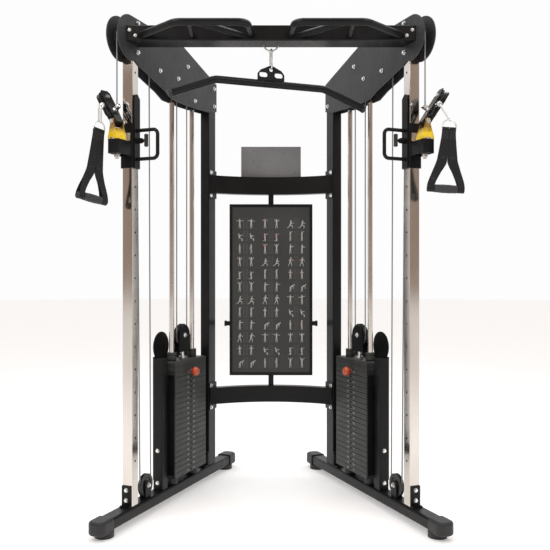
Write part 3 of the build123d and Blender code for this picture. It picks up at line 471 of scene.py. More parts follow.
def lathe(mesh, profile, matrix, sides=40):
    """Turns a profile of (radius, height) about the matrix's z axis, ends capped."""
    rings = [[matrix @ Vector((r * cos(a), r * sin(a), h))
              for a in (2 * pi * n / sides for n in range(sides))] for r, h in profile]
    loft(mesh, rings)


def prism(mesh, outline, matrix, thick):
    """A flat shape raised along the matrix's z axis."""
    loft(mesh, [[matrix @ Vector((x, y, h)) for x, y in outline] for h in (0.0, thick)])


def capsule_outline(start, end, width, other_width=None, steps=5):
    """A rounded strip between two points of a plane, for a limb or a stitch."""
    start = Vector(start)
    end = Vector(end)
    along = end - start
    turn = Vector((1, 0)).angle_signed(along) if along.length > 1e-9 else 0
    radius = width / 2
    other = (other_width or width) / 2
    points = []
    for centre, size, first in ((end, other, -pi / 2), (start, radius, pi / 2)):
        for k in range(steps + 1):
            a = first + pi * k / steps - turn
            points.append((centre.x + size * cos(a), centre.y + size * sin(a)))
    return points


def band(mesh, path, widths, half_thick):
    """A flat band with rounded edges and a raised selvedge, along a closed path.

    widths gives half the band's width, as a vector across it, at each point."""
    t = half_thick
    section = [(-1, -t * 0.7), (-0.94, -t * 1.15), (-0.84, -t), (0, -t), (0.84, -t),
               (0.94, -t * 1.15), (1, -t * 0.7), (1, t * 0.7), (0.94, t * 1.15),
               (0.84, t), (0, t), (-0.84, t), (-0.94, t * 1.15), (-1, t * 0.7)]
    count = len(path)
    rings = []
    for k, point in enumerate(path):
        along = (path[(k + 1) % count] - path[(k - 1) % count]).normalized()
        across = (widths[k] - along * widths[k].dot(along)).normalized()
        out = along.cross(across)
        half = widths[k].length
        rings.append([point + across * half * x + out * y for x, y in section])
    loft(mesh, rings, closed=True)


def arc(centre, radius, first, last, u, v, steps):
    """Points on an arc, angles in degrees from direction u towards v."""
    angles = [radians(first + (last - first) * k / steps) for k in range(steps + 1)]
    return [centre + (u * cos(a) + v * sin(a)) * radius for a in angles]


def straight(start, end, step=0.03):
    """Evenly spaced points from start to end."""
    count = max(2, round((end - start).length / step))
    return [start.lerp(end, k / count) for k in range(count + 1)]


def hermite(knots, at):
    """A smooth curve through (position, value) knots, in order of falling position."""
    slopes = []
    for k in range(len(knots)):
        (p0, v0), (p1, v1) = knots[max(k - 1, 0)], knots[min(k + 1, len(knots) - 1)]
        slopes.append((v1 - v0) / (p1 - p0))
    for k in range(len(knots) - 1):
        (p0, v0), (p1, v1) = knots[k], knots[k + 1]
        if at >= p1 or k == len(knots) - 2:
            break
    span = p1 - p0
    u = min(max((at - p0) / span, 0.0), 1.0)
    return ((2 * u ** 3 - 3 * u ** 2 + 1) * v0 + (u ** 3 - 2 * u ** 2 + u) * span * slopes[k]
            + (3 * u ** 2 - 2 * u ** 3) * v1 + (u ** 3 - u ** 2) * span * slopes[k + 1])


# ---- finishes of the CAD nodes --------------------------------------------------------
grip_finish = grip_foam()
finishes = {
    "black_frame": powder_coat("black_frame", (0.0045, 0.0045, 0.005), (0.0075, 0.0075, 0.008),
                               (0.035, 0.035, 0.037)),
    "grey_plate": powder_coat("grey_plate", (0.030, 0.030, 0.032), (0.040, 0.040, 0.042),
                              (0.09, 0.09, 0.09), (0.36, 0.5)),
    "grey_sheet": clouded("grey_sheet", (0.17, 0.17, 0.18), (0.215, 0.215, 0.225), (0.26, 0.38), (6, 4),
                          (900, 2, 0.06, 0.0003), 0.0008, (40, 4), Coat_Weight=0.2, Coat_Roughness=0.2),
    "board": clouded("board", (0.027, 0.029, 0.029), (0.038, 0.041, 0.040), (0.38, 0.52), (3.5, 5),
                     (800, 3, 0.14, 0.0003)),
    "chrome": chrome_plate(),
    "bright_steel": zinc_steel("bright_steel", (0.72, 0.72, 0.715), (0.88, 0.88, 0.87)),
    "hook_steel": zinc_steel("hook_steel", (0.78, 0.78, 0.775), (0.90, 0.90, 0.89), (0.34, 0.46)),
    # Near-black matt material: painted shade inside the chromed tubes and their pin holes.
    "tube_inside_shade": moulded("tube_inside_shade", (0.0015, 0.0015, 0.0015), (0.003, 0.003, 0.003), (0.8, 0.9)),
    "rubber": moulded("rubber", (0.011, 0.011, 0.012), (0.019, 0.019, 0.020), (0.42, 0.56), 900, 0.22,
                      0.0015),
    "stack_iron": cast_iron(),
    "cable_jacket": cable_jacket(),
    "black_plastic": moulded("black_plastic", (0.012, 0.012, 0.013), (0.022, 0.022, 0.023), (0.34, 0.48)),
    "yellow_paint": swivel_paint(),
    "red_knob": clouded("red_knob", (0.42, 0.045, 0.010), (0.56, 0.075, 0.014), (0.16, 0.28), (70, 4),
                        (400, 3, 0.05, 0.0003), 0.002, Coat_Weight=0.3, Coat_Roughness=0.15),
}
chart_white = ink("chart_ink", (0.42, 0.42, 0.41), (0.64, 0.64, 0.62))
chart_grey = ink("chart_lines", (0.12, 0.122, 0.122), (0.18, 0.185, 0.18))
chart_red = ink("chart_red", (0.42, 0.035, 0.03), (0.62, 0.07, 0.05))
number_ink = ink("number_ink", (0.30, 0.30, 0.29), (0.52, 0.52, 0.50))
thread = ink("thread", (0.030, 0.030, 0.032), (0.055, 0.055, 0.058))

PULLEYS = ["nose_pulley", "lift_idler", "return_idler", "drop_idler", "bottom_pulley", "lift_pulley",
           "swivel_pulley_lower", "swivel_pulley_upper"]
NODE_FINISHES = {
    "black_frame": ["base_rails", "rear_uprights", "top_crossbar", "pullup_grips", "rear_braces",
                    "chart_post", "chart_frame", "stack_posts", "stack_shrouds", "foot_brackets",
                    "hanging_bar"],
    "grey_plate": ["top_side_plates"],
    "grey_sheet": ["device_shelf"],
    "board": ["chart_board"],
    "chrome": ["front_uprights", "guide_rods"],
    "bright_steel": ["frame_bolts"],
    "hook_steel": ["bar_hook"],
    "rubber": ["rail_end_caps", "stack_bumpers"],
    "stack_iron": ["weight_plates"],
}
SIDE_FINISHES = {
    "black_frame": ["lift_block", "trolley_sleeve", "trolley_handle", "pop_pin", "swivel_arm"],
    "stack_iron": ["stack_head"],
    "hook_steel": ["snap_hook"],
    "red_knob": ["selector_pin"],
    "yellow_paint": ["swivel_foot"],
    "black_plastic": PULLEYS,
}


def give(node, finish):
    data = nodes[node].data
    data.materials.clear()
    data.materials.append(finishes[finish])


def second_finish(node, finish, inside):
    """Gives the faces whose middle passes a test another finish."""
    data = nodes[node].data
    data.materials.append(finishes[finish])
    for polygon in data.polygons:
        if inside(polygon.center):
            polygon.material_index = 1


def near_line(point, direction, radius):
    """A test for being within a radius of a line."""
    return lambda centre: ((centre - point).cross(direction)).length < radius


def darken_tubes():
    """Gives the insides and the pin holes of the chromed uprights a near-black matt material: painted
    shade inside the tubes and holes.
    """
    data = nodes["front_uprights"].data
    data.materials.append(finishes["tube_inside_shade"])
    for side in ("left", "right"):
        inward, rear = side_axes(side)
        outward = -1 if side == "left" else 1
        corners = [vertex.co for vertex in data.vertices if vertex.co.x * outward > 0]
        across = [corner.dot(inward) for corner in corners]
        behind = [corner.dot(rear) for corner in corners]
        half = (max(across) - min(across)) / 2
        middle = (inward * (max(across) + min(across)) + rear * (max(behind) + min(behind))) / 2
        for polygon in data.polygons:
            if polygon.center.x * outward < 0:
                continue
            from_middle = polygon.center - middle
            t, s = from_middle.dot(inward), from_middle.dot(rear)
            inner_wall = (inward * t + rear * s).dot(polygon.normal) < -0.001
            hole_wall = abs(s) < PIN_HOLE_REACH and abs(t) < half - 0.0004
            if inner_wall or hole_wall:
                polygon.material_index = 1


def finish_side(side):
    """Gives one side's nodes their finishes, and their pins, bolts and axles bright steel."""
    for finish, names in SIDE_FINISHES.items():
        for name in names:
            give(f"{side}_{name}", finish)
    for name in PULLEYS:
        spin = f"{side}_{name}_spin"
        hub = near_line(place_of(spin), axis_of(spin), HUB_RADIUS)
        second_finish(f"{side}_{name}", "bright_steel", hub)

    inward = side_axes(side)[0]
    knob_start = extent(f"{side}_stack_head", inward)[1] + KNOB_SEAT
    second_finish(f"{side}_selector_pin", "bright_steel",
                  lambda centre: centre.dot(inward) < knob_start)

    load = side + "_lift_pulley_spin"
    cheek = near_line(place_of(load), axis_of(load), BOLT_RADIUS)
    stem_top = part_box(side + "_lift_block")[0].z + LIFT_STEM
    second_finish(f"{side}_lift_block", "bright_steel",
                  lambda centre: cheek(centre) or centre.z < stem_top)

    pin, across = place_of(side + "_arm_tilt"), axis_of(side + "_arm_tilt")
    second_finish(f"{side}_swivel_foot", "bright_steel",
                  lambda centre: abs((centre - pin).dot(across)) > FOOT_PIN_REACH
                  or centre.z < pin.z - FOOT_NUT_DROP)

    axles = []
    for level in ("lower", "upper"):
        spin = f"{side}_swivel_pulley_{level}_spin"
        middle, along = place_of(spin), axis_of(spin)
        axles.append((near_line(middle, along, BOLT_RADIUS), middle, along))
    second_finish(f"{side}_swivel_arm", "bright_steel",
                  lambda centre: any(near(centre) and abs((centre - middle).dot(along)) > ARM_PLATE_REACH
                                     for near, middle, along in axles))


def finish_nodes():
    for finish, names in NODE_FINISHES.items():
        for name in names:
            give(name, finish)
    darken_tubes()
    for side in ("left", "right"):
        finish_side(side)


# ---- small hardware -------------------------------------------------------------------
def hard_piece(name, mesh, finish, body, degrees=35):
    """A piece in a CAD finish, with its sharp edges kept."""
    return smooth_by_angle(piece(name, mesh, finishes[finish], body), degrees)


def hex_bolt(mesh, place, out, size):
    """A washer and a chamfered hex head that stand on a face, with out as its normal."""
    matrix = standing(place, out)
    washer = [(size * 1.35, 0.0), (size * 1.38, size * 0.06), (size * 1.34, size * 0.24),
              (size * 0.9, size * 0.26)]
    lathe(mesh, washer, matrix, 28)
    rings = []
    for reach, level in ((1.0, 0.24), (1.0, 0.66), (0.93, 0.80), (0.60, 0.82), (0.52, 0.74)):
        rings.append([matrix @ Vector((size * reach * cos(a), size * reach * sin(a), size * level))
                      for a in (pi * n / 3 for n in range(6))])
    loft(mesh, rings)


def make_crossbar_bolts():
    """Two bolts at each end of the crossbar's front face."""
    low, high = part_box("top_crossbar")
    reach = high.x - CROSSBAR_BOLT_INSET
    top = (low.z + high.z) / 2 + CROSSBAR_BOLT_SPREAD / 2
    mesh = bmesh.new()
    for end in (-1, 1):
        for step in (0, CROSSBAR_BOLT_SPREAD):
            place = Vector((end * (reach - step), low.y, top - step))
            hex_bolt(mesh, place, FRONT, CROSSBAR_BOLT_SIZE)
    hard_piece("crossbar_bolts", mesh, "bright_steel", "frame")


def make_lift_bolts(side):
    """Bolt heads on the cheeks that carry the lift pulley."""
    inward = side_axes(side)[0]
    centre = place_of(side + "_lift_pulley_spin")
    mesh = bmesh.new()
    for sign in (-1, 1):
        hex_bolt(mesh, centre + inward * (sign * LIFT_CHEEK_HALF), inward * sign, LIFT_BOLT_SIZE)
    hard_piece(side + "_lift_bolts", mesh, "bright_steel", side + "_stack")


def make_pull_grip(side):
    """The moulded grip over the crossbar of the pop pin's T handle."""
    inward, rear = side_axes(side)
    low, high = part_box(side + "_pop_pin")
    tip = extent(side + "_pop_pin", inward)[1] - PULL_BAR_RADIUS
    across = sum(extent(side + "_pop_pin", rear)) / 2
    foot = inward * tip + rear * across + UP * (low.z - PULL_GRIP_OVERHANG)
    length = high.z - low.z + 2 * PULL_GRIP_OVERHANG
    radius, shoulder = PULL_GRIP_END[-1]
    profile = list(PULL_GRIP_END)
    for k in range(1, 12):
        level = shoulder + (length - 2 * shoulder) * k / 12
        profile.append((radius + PULL_GRIP_RIB * (1 if k % 2 else -1), level))
    profile += [(r, length - h) for r, h in reversed(PULL_GRIP_END)]
    mesh = bmesh.new()
    lathe(mesh, profile, axes_matrix(inward, UP.cross(inward), UP, foot), 32)
    piece(side + "_pull_grip", mesh, finishes["black_plastic"], side + "_pop_pin")


def make_bar_caps():
    """Rubber caps on the ends of the hanging bar."""
    data = nodes["hanging_bar"].data
    mesh = bmesh.new()
    for end in (-1, 1):
        tip = max((vertex.co for vertex in data.vertices), key=lambda co: co.x * end)
        rim = [vertex.co for vertex in data.vertices if (vertex.co - tip).length < BAR_RADIUS * 2.02]
        faces = [polygon for polygon in data.polygons if (polygon.center - tip).length < BAR_RADIUS * 1.5]
        out = max(faces, key=lambda polygon: polygon.area).normal.copy()
        if out.x * end < 0:
            out = -out
        level = max(co.dot(out) for co in rim)
        edge = [co for co in rim if co.dot(out) > level - 0.0003]
        middle = sum(edge, Vector()) / len(edge)
        radius = max((co - middle).length for co in edge)
        outer = radius + CAP_WALL
        cap = [(radius + CAP_WALL / 2, -0.012), (outer, -0.011), (outer, -0.001),
               (radius * 0.97, 0.0008), (radius * 0.6, 0.0014), (0.0005, 0.0016)]
        lathe(mesh, cap, standing(middle, out))
    hard_piece("bar_caps", mesh, "rubber", "hanging_bar")


# ---- cables ---------------------------------------------------------------------------
def wheel(side, name):
    """A pulley's centre and the radius of the cable's middle line in its groove."""
    low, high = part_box(f"{side}_{name}")
    return place_of(f"{side}_{name}_spin"), (high.z - low.z) / 2 - GROOVE_LIP


def cable(name, path, body=None):
    mesh = bmesh.new()
    tube(mesh, path, CABLE_RADIUS)
    return piece(name, mesh, finishes["cable_jacket"], body)


def make_cables(side):
    """One side's cable: the fixed runs, the stretches that change length, and the wraps."""
    inward, rear = side_axes(side)
    nose, nose_r = wheel(side, "nose_pulley")
    lift, lift_r = wheel(side, "lift_idler")
    back, back_r = wheel(side, "return_idler")
    drop, drop_r = wheel(side, "drop_idler")
    low, low_r = wheel(side, "bottom_pulley")
    load, load_r = wheel(side, "lift_pulley")

    over = arc(nose, nose_r, 180, 90, rear, UP, 16)
    fall = arc(lift, lift_r, 90, 0, rear, UP, 12)
    cable(side + "_cable_top", over + straight(over[-1], fall[0])[1:-1] + fall, "frame")

    rise = arc(back, back_r, 0, 90, rear, UP, 12)
    turn = arc(drop, drop_r, 90, 180, rear, UP, 12)
    under = arc(low, low_r, 0, -180, rear, UP, 24)
    path = rise + straight(rise[-1], turn[0])[1:-1] + turn + straight(turn[-1], under[0])[1:-1] + under
    cable(side + "_cable_return", path, "frame")

    guide = over[0].copy()
    guide.z = place_of(side + "_arm_tilt").z + GUIDE_RISE
    front = cable(side + "_cable_front", straight(over[0], guide))
    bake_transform(front)

    sleeve_back = extent(side + "_trolley_sleeve", rear)[1]
    lug = inward * nose.dot(inward) + rear * (sleeve_back - LUG_INSET)
    lug.z = place_of(side + "_swivel_turn").z - LUG_DROP
    tail = cable(side + "_cable_tail", straight(under[-1], lug))
    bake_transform(tail)
    make_ferrule(side, lug, (under[-1] - lug).normalized())

    for name, top, foot in (("rear", fall[-1], load + rear * load_r),
                            ("front", rise[0], load - rear * load_r)):
        strand = cable(f"{side}_cable_lift_{name}", straight(top, foot))
        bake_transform(strand)
    cable(side + "_cable_lift_wrap", arc(load, load_r, 0, -180, rear, UP, 24), side + "_stack")
    make_arm_cable(side)


def make_ferrule(side, start, along):
    """The pressed sleeve and nut where the cable ends in the trolley's lug."""
    mesh = bmesh.new()
    profile = [(0.0052, 0.0), (0.0058, 0.0008)]
    for k in range(4):
        h = 0.003 + 0.006 * k
        profile += [(0.0058, h), (0.0050, h + 0.001), (0.0050, h + 0.003), (0.0058, h + 0.004)]
    profile += [(0.0056, 0.0275), (0.0040, 0.029)]
    lathe(mesh, profile, standing(start, along), 24)
    piece(side + "_cable_ferrule", mesh, finishes["bright_steel"], side + "_trolley")


def arm_matrix(side):
    """The leaning arm's axes: x across its plates, y forward, z along it from its bolt."""
    sign = 1 if side == "left" else -1
    across = axis_of(side + "_swivel_pulley_lower_spin") * sign
    forward = axis_of(side + "_arm_tilt") * sign
    along = across.cross(forward) * sign
    return axes_matrix(across, forward, along, place_of(side + "_arm_tilt"))


def make_arm_cable(side):
    """The cable between the two guide pulleys, from the arm's root block to its stop."""
    arm = arm_matrix(side)
    inverse = arm.inverted()
    centre = place_of(side + "_swivel_pulley_lower_spin")
    rim = nodes[side + "_swivel_pulley_lower"].data.vertices
    radius = max((vertex.co - centre).length for vertex in rim) - GROOVE_LIP
    middle = inverse @ centre
    stop = inverse @ place_of(side + "_hook_swing")
    over = arc(middle, radius, 186, 84, Vector((0, 1, 0)), UP, 14)
    root = Vector((0, -0.017, 0.011))
    end = Vector((0, stop.y - 0.024, stop.z + 0.0095))
    bend = root.lerp(over[0], 0.5) + Vector((0, -0.001, 0))
    path = [root, bend] + over + straight(over[-1], end)[1:]
    cable(side + "_cable_arm", [arm @ point for point in path], side + "_swivel_arm")


# ---- strap handles --------------------------------------------------------------------
def handle_matrix(side):
    """The handle's axes, x along the grip and z up to the ring, and the ring's height above it."""
    ring = place_of(side + "_strap_swing")
    up = ring - place_of(side + "_grip_spin")
    drop = up.length
    up.normalize()
    along = axis_of(side + "_grip_spin")
    return axes_matrix(along, up.cross(along), up, ring), drop


def leg_knots(drop):
    """How far a strap leg's middle stands from the handle's middle, by height."""
    return [(0.0, 0.0148), (-0.03, 0.0150), (-drop + 0.125, 0.0215), (-drop + 0.112, 0.0235),
            (-drop + 0.069, 0.0425), (-drop + 0.018, 0.0615), (-drop - 0.02, 0.0628)]


def leg_width_knots(drop):
    """Half the width of a strap leg, by height."""
    half = STRAP_WIDTH / 2
    return [(0.0, half), (-0.03, half + 0.0008), (-drop + 0.125, 0.0208), (-drop + 0.112, 0.0212),
            (-drop + 0.069, 0.0168), (-drop + 0.018, half), (-drop - 0.02, half)]


def layer_knots(drop):
    """How far each layer of a leg stands from the leg's middle sheet, by height."""
    wrap = GRIP_TUBE_RADIUS + STRAP_SHEET * 0.62
    return [(0.0, 0.0044), (-0.022, 0.0026), (-drop + 0.085, 0.0024), (-drop + 0.035, 0.0085),
            (-drop, wrap)]


def leg_slope(drop, z):
    """How far a leg's middle moves outward for each step up."""
    knots = leg_knots(drop)
    return (hermite(knots, z + 0.002) - hermite(knots, z - 0.002)) / 0.004


def strap_leg(mesh, matrix, drop, sign):
    """One leg: a doubled band from the ring bar down and round the grip's tube."""
    x_at = leg_knots(drop)
    y_at = layer_knots(drop)
    half_at = leg_width_knots(drop)
    heights = [-drop * k / 46 for k in range(1, 46)]
    wrap = y_at[-1][1]
    path = []
    widths = []

    def add(x, y, z):
        slope = leg_slope(drop, min(max(z, -drop), 0.0)) if -drop < z < 0 else 0.0
        path.append(matrix @ Vector((sign * x, y, z)))
        half = hermite(half_at, min(max(z, -drop), 0.0))
        widths.append(matrix.to_3x3() @ Vector((1, 0, -sign * slope)).normalized() * half)

    for k in range(9):
        a = pi - pi * k / 8
        add(hermite(x_at, 0), y_at[0][1] * cos(a), y_at[0][1] * sin(a))
    for z in heights:
        add(hermite(x_at, z), hermite(y_at, z), z)
    for k in range(15):
        a = -pi * k / 14
        add(hermite(x_at, -drop), wrap * cos(a), -drop + wrap * sin(a))
    for z in reversed(heights):
        add(hermite(x_at, z), -hermite(y_at, z), z)
    band(mesh, path, widths, STRAP_SHEET / 2)


def stitch_row(mesh, matrix, drop, start, end, face):
    """A row of stitches across the front or the back of a strap, between two (x, z) points."""
    start = Vector(start)
    end = Vector(end)
    count = max(2, round((end - start).length / 0.0042))
    for k in range(count):
        a = start.lerp(end, (k + 0.14) / count)
        b = start.lerp(end, (k + 0.86) / count)
        y = hermite(layer_knots(drop), (a.y + b.y) / 2) + STRAP_SHEET * 0.42
        flat = axes_matrix(RIGHT, UP * face, FRONT * face, Vector())
        lift = Matrix.Translation((0, -face * y, 0))
        outline = [(x, face * z) for x, z in capsule_outline(a, b, 0.0011, steps=3)]
        prism(mesh, outline, matrix @ lift @ flat, 0.0005)


def strap_stitching(mesh, matrix, drop):
    """A boxed cross below the ring, and double rows above the grip and where the legs part."""
    half = STRAP_WIDTH / 2 - 0.0035
    for face in (-1, 1):
        for sign in (-1, 1):
            def at(across, z, side=sign):
                slope = leg_slope(drop, z) * side
                return (side * hermite(leg_knots(drop), z) + across, z - across * slope)

            top, low = -0.014, -0.044
            corners = [at(-half, top), at(half, top), at(half, low), at(-half, low)]
            for first, second in ((0, 1), (1, 2), (2, 3), (3, 0), (0, 2), (1, 3)):
                stitch_row(mesh, matrix, drop, corners[first], corners[second], face)
            for z in (-drop + 0.036, -drop + 0.041, -drop + 0.128, -drop + 0.133):
                stitch_row(mesh, matrix, drop, at(-half, z), at(half, z), face)


def make_handle(side):
    """Webbing, stitching, foam grip and end caps of one strap handle."""
    matrix, drop = handle_matrix(side)
    body = side + "_handle_strap"
    across = matrix.to_3x3() @ RIGHT
    weave = "X" if abs(across.x) > abs(across.y) else "Y"
    web = finishes.setdefault("webbing_" + weave, webbing("webbing_" + weave.lower(), weave))
    mesh = bmesh.new()
    for sign in (-1, 1):
        strap_leg(mesh, matrix, drop, sign)
    strap = smooth_by_angle(piece(side + "_webbing", mesh, web, body), 40)
    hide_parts(side + "_handle_strap")
    mesh = bmesh.new()
    strap_stitching(mesh, matrix, drop)
    piece(side + "_stitching", mesh, thread, body, smooth=False)
    make_grip(side, matrix, drop)


def make_grip(side, matrix, drop):
    """The swollen foam sleeve, and the plastic plugs in the ends of its tube."""
    along = matrix @ axes_matrix(Vector((0, 1, 0)), UP, RIGHT, UP * -drop)
    half = GRIP_HALF - STRAP_WIDTH - 0.0015
    profile = [(0.0134, -half), (0.0150, -half), (0.0159, -half + 0.0008), (0.0163, -half + 0.0025)]
    for k in range(17):
        u = -1 + k / 8
        swell = 0.0163 + 0.0016 * (1 - u * u) - 0.00025 * cos(u * 9.4)
        profile.append((swell, u * (half - 0.005)))
    profile += [(0.0163, half - 0.0025), (0.0159, half - 0.0008), (0.0150, half), (0.0134, half)]
    mesh = bmesh.new()
    lathe(mesh, profile, along, 48)
    foam = smooth_by_angle(piece(side + "_foam", mesh, grip_finish, side + "_handle_grip"), 50)
    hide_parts(side + "_handle_grip")
    end = GRIP_HALF - 0.0002
    mesh = bmesh.new()
    for sign in (-1, 1):
        plug = [(0.0127, half - 0.001), (0.0127, end - 0.0022), (0.0121, end - 0.0007), (0.0108, end),
                (0.0078, end), (0.0072, end - 0.0012), (0.0030, end - 0.0014), (0.0004, end - 0.0014)]
        lathe(mesh, [(r, sign * h) for r, h in plug], along, 36)
    hard_piece(side + "_grip_plugs", mesh, "black_plastic", side + "_handle_grip")


# ---- weight stack marks ---------------------------------------------------------------
def printed_text(mesh, text, matrix, size, thick=0.0001):
    """Digits as thin raised print."""
    curve = bpy.data.curves.new("digits", "FONT")
    curve.body = text
    curve.size = size
    curve.extrude = thick
    curve.resolution_u = 3
    curve.align_x = "CENTER"
    curve.align_y = "CENTER"
    holder = bpy.data.objects.new("digits", curve)
    data = bpy.data.meshes.new_from_object(holder)
    data.transform(matrix)
    mesh.from_mesh(data)
    bpy.data.objects.remove(holder)
    bpy.data.curves.remove(curve)
    bpy.data.meshes.remove(data)


def make_stack_numbers(side):
    """A number in each of two units beside every pin hole, on the stack's inner face."""
    inward, rear = side_axes(side)
    face = extent(side + "_stack_head", inward)[1]
    first, last = extent(side + "_stack_head", rear)
    middle = (first + last) / 2
    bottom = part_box("weight_plates")[0].z
    right_hand = (-inward).cross(UP)
    low_marks = bmesh.new()
    top_marks = bmesh.new()
    for k in range(PLATES_BELOW + 1):
        mesh = top_marks if k == PLATES_BELOW else low_marks
        number = PLATES_BELOW + 1 - k
        height = bottom + k * PLATE_PITCH + PLATE_PITCH * 0.49
        for offset, label in ((-NUMBER_OFFSET, str(number * 10)), (NUMBER_OFFSET, f"{number * 4.5:g}")):
            spot = inward * (face + 0.00012) + rear * middle + right_hand * offset + UP * height
            printed_text(mesh, label, axes_matrix(right_hand, UP, inward, spot), NUMBER_SIZE)
    piece(side + "_stack_numbers", low_marks, number_ink, "frame", smooth=False)
    piece(side + "_head_numbers", top_marks, number_ink, side + "_stack", smooth=False)


# ---- exercise chart -------------------------------------------------------------------
# Each pose is (lean, arms, legs), its limbs as pairs of angles outward from straight down.
POSES = [
    (0, [(90, 90), (-90, -90)], [(7, 3), (-7, -3)]),
    (0, [(140, 152), (-140, -152)], [(8, 4), (-8, -4)]),
    (0, [(14, 128), (-14, -128)], [(6, 4), (-6, -4)]),
    (0, [(96, 178), (-96, -178)], [(9, 5), (-9, -5)]),
    (4, [(82, 88), (70, 84)], [(6, 2), (-6, -3)]),
    (-12, [(92, 92), (84, 92)], [(86, 0), (80, 6)]),
    (10, [(34, 96), (28, 92)], [(62, -8), (-34, -62)]),
    (58, [(0, 2), (12, 8)], [(10, -12), (2, -14)]),
    (-6, [(150, 96), (140, 92)], [(4, -88), (0, -90)]),
    (8, [(60, 30), (-40, -10)], [(24, 2), (-22, -30)]),
    (0, [(6, 4), (-6, -4)], [(4, 2), (-4, -2)]),
    (-2, [(165, 120), (20, 10)], [(6, 2), (-6, -2)]),
]
CHART_COLUMNS = 6
CHART_ROWS = 12
CHART_PITCH = 0.068
CHART_HEAD_ROOM = 0.088
FIGURE_HEIGHT = 0.052
MARKED_FIGURES = {(0, 2), (1, 2), (1, 3), (2, 2), (3, 4), (4, 4), (4, 5), (8, 5)}


def limb(mesh, matrix, start, angle, length, widths):
    """A rounded strip from a point, its angle measured outward from straight down."""
    a = radians(angle)
    end = (start[0] + length * sin(a), start[1] - length * cos(a))
    prism(mesh, capsule_outline(start, end, *widths), matrix, PRINT_THICK)
    return end


def figure(ink_mesh, red_mesh, matrix, pose, marked):
    """A generic pictogram of a person, one unit high: a head, a body and jointed limbs."""
    lean, arms, legs = pose
    a = radians(lean)
    folded = max(cos(radians(angle)) * 0.24 + max(cos(radians(shin)), 0.05) * 0.22 for angle, shin in legs)
    hip = (0.0, folded)
    up = (sin(a), cos(a))
    neck = (up[0] * 0.31, folded + up[1] * 0.31)
    prism(ink_mesh, capsule_outline(hip, neck, 0.115, 0.165), matrix, PRINT_THICK)
    head = (neck[0] + up[0] * 0.135, neck[1] + up[1] * 0.135)
    top = (head[0] + up[0] * 0.015, head[1] + up[1] * 0.015)
    prism(ink_mesh, capsule_outline(head, top, 0.10, 0.11), matrix, PRINT_THICK)
    for sign, (upper, fore) in zip((1, -1), arms):
        shoulder = (neck[0] + sign * 0.055 * up[1], neck[1] - sign * 0.055 * up[0])
        elbow = limb(ink_mesh, matrix, shoulder, upper, 0.155, (0.055, 0.045))
        limb(ink_mesh, matrix, elbow, fore, 0.145, (0.045, 0.032))
    for sign, (thigh, shin) in zip((1, -1), legs):
        knee = limb(ink_mesh, matrix, (sign * 0.03, folded), thigh, 0.24, (0.085, 0.065))
        limb(ink_mesh, matrix, knee, shin, 0.22, (0.062, 0.035))
    if marked:
        raised = matrix @ Matrix.Translation((0, 0, PRINT_THICK))
        for sign in (1, -1):
            chest = (neck[0] + sign * 0.045, neck[1] - 0.02)
            prism(red_mesh, capsule_outline(chest, (chest[0], chest[1] - 0.05), 0.05), raised, LINE_THICK)
        limb(red_mesh, raised, (neck[0] + 0.055, neck[1]), arms[0][0], 0.12, (0.04, 0.03))


def machine_lines(mesh, matrix, side):
    """Thin lines beside a figure for the machine it stands at, on one side of it."""
    post = side * 0.40
    wide = 0.0007 / FIGURE_HEIGHT
    thin = 0.0006 / FIGURE_HEIGHT
    strokes = [((x, 0.0), (x, 1.02), wide) for x in (post, post + side * 0.11)]
    strokes += [((post - side * 0.02, y), (post + side * 0.13, y), wide) for y in (0.03, 0.55, 1.0)]
    strokes.append(((side * 0.16, 0.62), (post, 0.78), thin))
    for start, end, width in strokes:
        prism(mesh, capsule_outline(start, end, width, steps=2), matrix, LINE_THICK)


def make_chart():
    """Rows of figures, printed on the front of the board."""
    low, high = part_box("chart_board")
    figures, lines, marks = bmesh.new(), bmesh.new(), bmesh.new()
    for row in range(CHART_ROWS):
        for column in range(CHART_COLUMNS):
            pose = POSES[(row * 5 + column // 2 * 3) % len(POSES)]
            jitter = random.uniform(-5, 5) if column % 2 else 0.0
            arms = [(upper + jitter * 3, fore + jitter * 4) for upper, fore in pose[1]]
            x = (column - (CHART_COLUMNS - 1) / 2) * CHART_PITCH - (0.004 if column % 2 else -0.002)
            z = high.z - CHART_HEAD_ROOM - row * CHART_PITCH - FIGURE_HEIGHT / 2
            spot = Vector((x, low.y + 0.00005, z))
            matrix = axes_matrix(RIGHT * FIGURE_HEIGHT, UP * FIGURE_HEIGHT, FRONT, spot)
            figure(figures, marks, matrix, (pose[0], arms, pose[2]), (row, column) in MARKED_FIGURES)
            machine_lines(lines, matrix, -1 if column % 2 else 1)
    for name, mesh, print_ in (("chart_figures", figures, chart_white), ("chart_lines", lines, chart_grey),
                               ("chart_marks", marks, chart_red)):
        piece(name, mesh, print_, "frame", smooth=False)


# ---- studio ---------------------------------------------------------------------------
def make_camera():
    data = bpy.data.cameras.new("camera")
    data.lens = CAMERA_LENS
    data.sensor_width = 36
    data.shift_x = CAMERA_SHIFT
    camera = bpy.data.objects.new("camera", data)
    camera.location = (0, -CAMERA_BACK, CAMERA_HEIGHT)
    camera.rotation_euler = (pi / 2, 0, 0)
    bpy.context.scene.collection.objects.link(camera)
    bpy.context.scene.camera = camera


def soft_light(name, place, target, size, power):
    data = bpy.data.lights.new(name, "AREA")
    data.shape = "RECTANGLE"
    data.size, data.size_y = size
    data.energy = power
    lamp = bpy.data.objects.new(name, data)
    lamp.location = place
    lamp.rotation_euler = (Vector(target) - Vector(place)).to_track_quat("-Z", "Y").to_euler()
    bpy.context.scene.collection.objects.link(lamp)


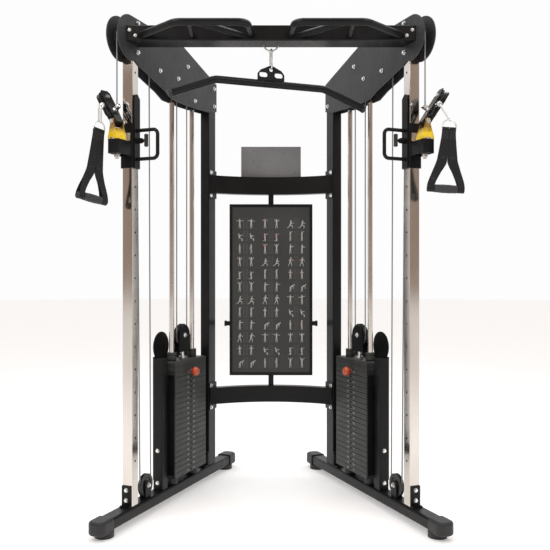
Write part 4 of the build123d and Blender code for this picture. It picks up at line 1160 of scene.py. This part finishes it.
def make_world():
    """A bright backdrop behind the machine and a dimmer, warmer room on the camera's side."""
    world = bpy.data.worlds.new("studio")
    world.use_nodes = True
    tree = world.node_tree
    node, link = tree.nodes.new, tree.links.new
    background = tree.nodes["Background"]
    place = node("ShaderNodeTexCoord")
    parts = node("ShaderNodeSeparateXYZ")
    link(place.outputs["Generated"], parts.inputs["Vector"])
    level = node("ShaderNodeMapRange")
    level.inputs["From Min"].default_value = -0.5
    level.inputs["From Max"].default_value = 0.25
    link(parts.outputs["Y"], level.inputs["Value"])
    ramp = node("ShaderNodeValToRGB")
    ramp.color_ramp.elements[0].color = ROOM_COLOUR
    ramp.color_ramp.elements[1].color = BACKDROP_COLOUR
    link(level.outputs["Result"], ramp.inputs["Fac"])
    link(ramp.outputs["Color"], background.inputs["Color"])
    seen = node("ShaderNodeBackground")
    seen.inputs["Color"].default_value = SEEN_COLOUR
    rays = node("ShaderNodeLightPath")
    mix = node("ShaderNodeMixShader")
    link(rays.outputs["Is Camera Ray"], mix.inputs["Fac"])
    link(background.outputs["Background"], mix.inputs[1])
    link(seen.outputs["Background"], mix.inputs[2])
    link(mix.outputs["Shader"], tree.nodes["World Output"].inputs["Surface"])
    bpy.context.scene.world = world


def make_floor():
    floor_finish = Finish("floor", Emission_Color=(1, 1, 1, 1), Emission_Strength=FLOOR_GLOW)
    cloud = floor_finish.noise(1.5, 3)
    colour = floor_finish.tones(cloud, (0.90, 0.90, 0.90), (0.93, 0.93, 0.93))
    material = floor_finish.finish(colour, floor_finish.span(cloud, 0.7, 0.8))
    mesh = bmesh.new()
    bmesh.ops.create_circle(mesh, cap_ends=True, radius=30, segments=64)
    floor = piece("floor", mesh, material)


def make_studio():
    make_world()
    make_floor()
    for light in LIGHTS:
        soft_light(*light)
    make_camera()
    bpy.context.scene.view_settings.view_transform = "Standard"


finish_nodes()
for side in ("left", "right"):
    make_cables(side)
    make_handle(side)
    make_stack_numbers(side)
    make_lift_bolts(side)
    make_pull_grip(side)
make_crossbar_bolts()
make_bar_caps()
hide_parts("cables")
make_chart()
make_studio()
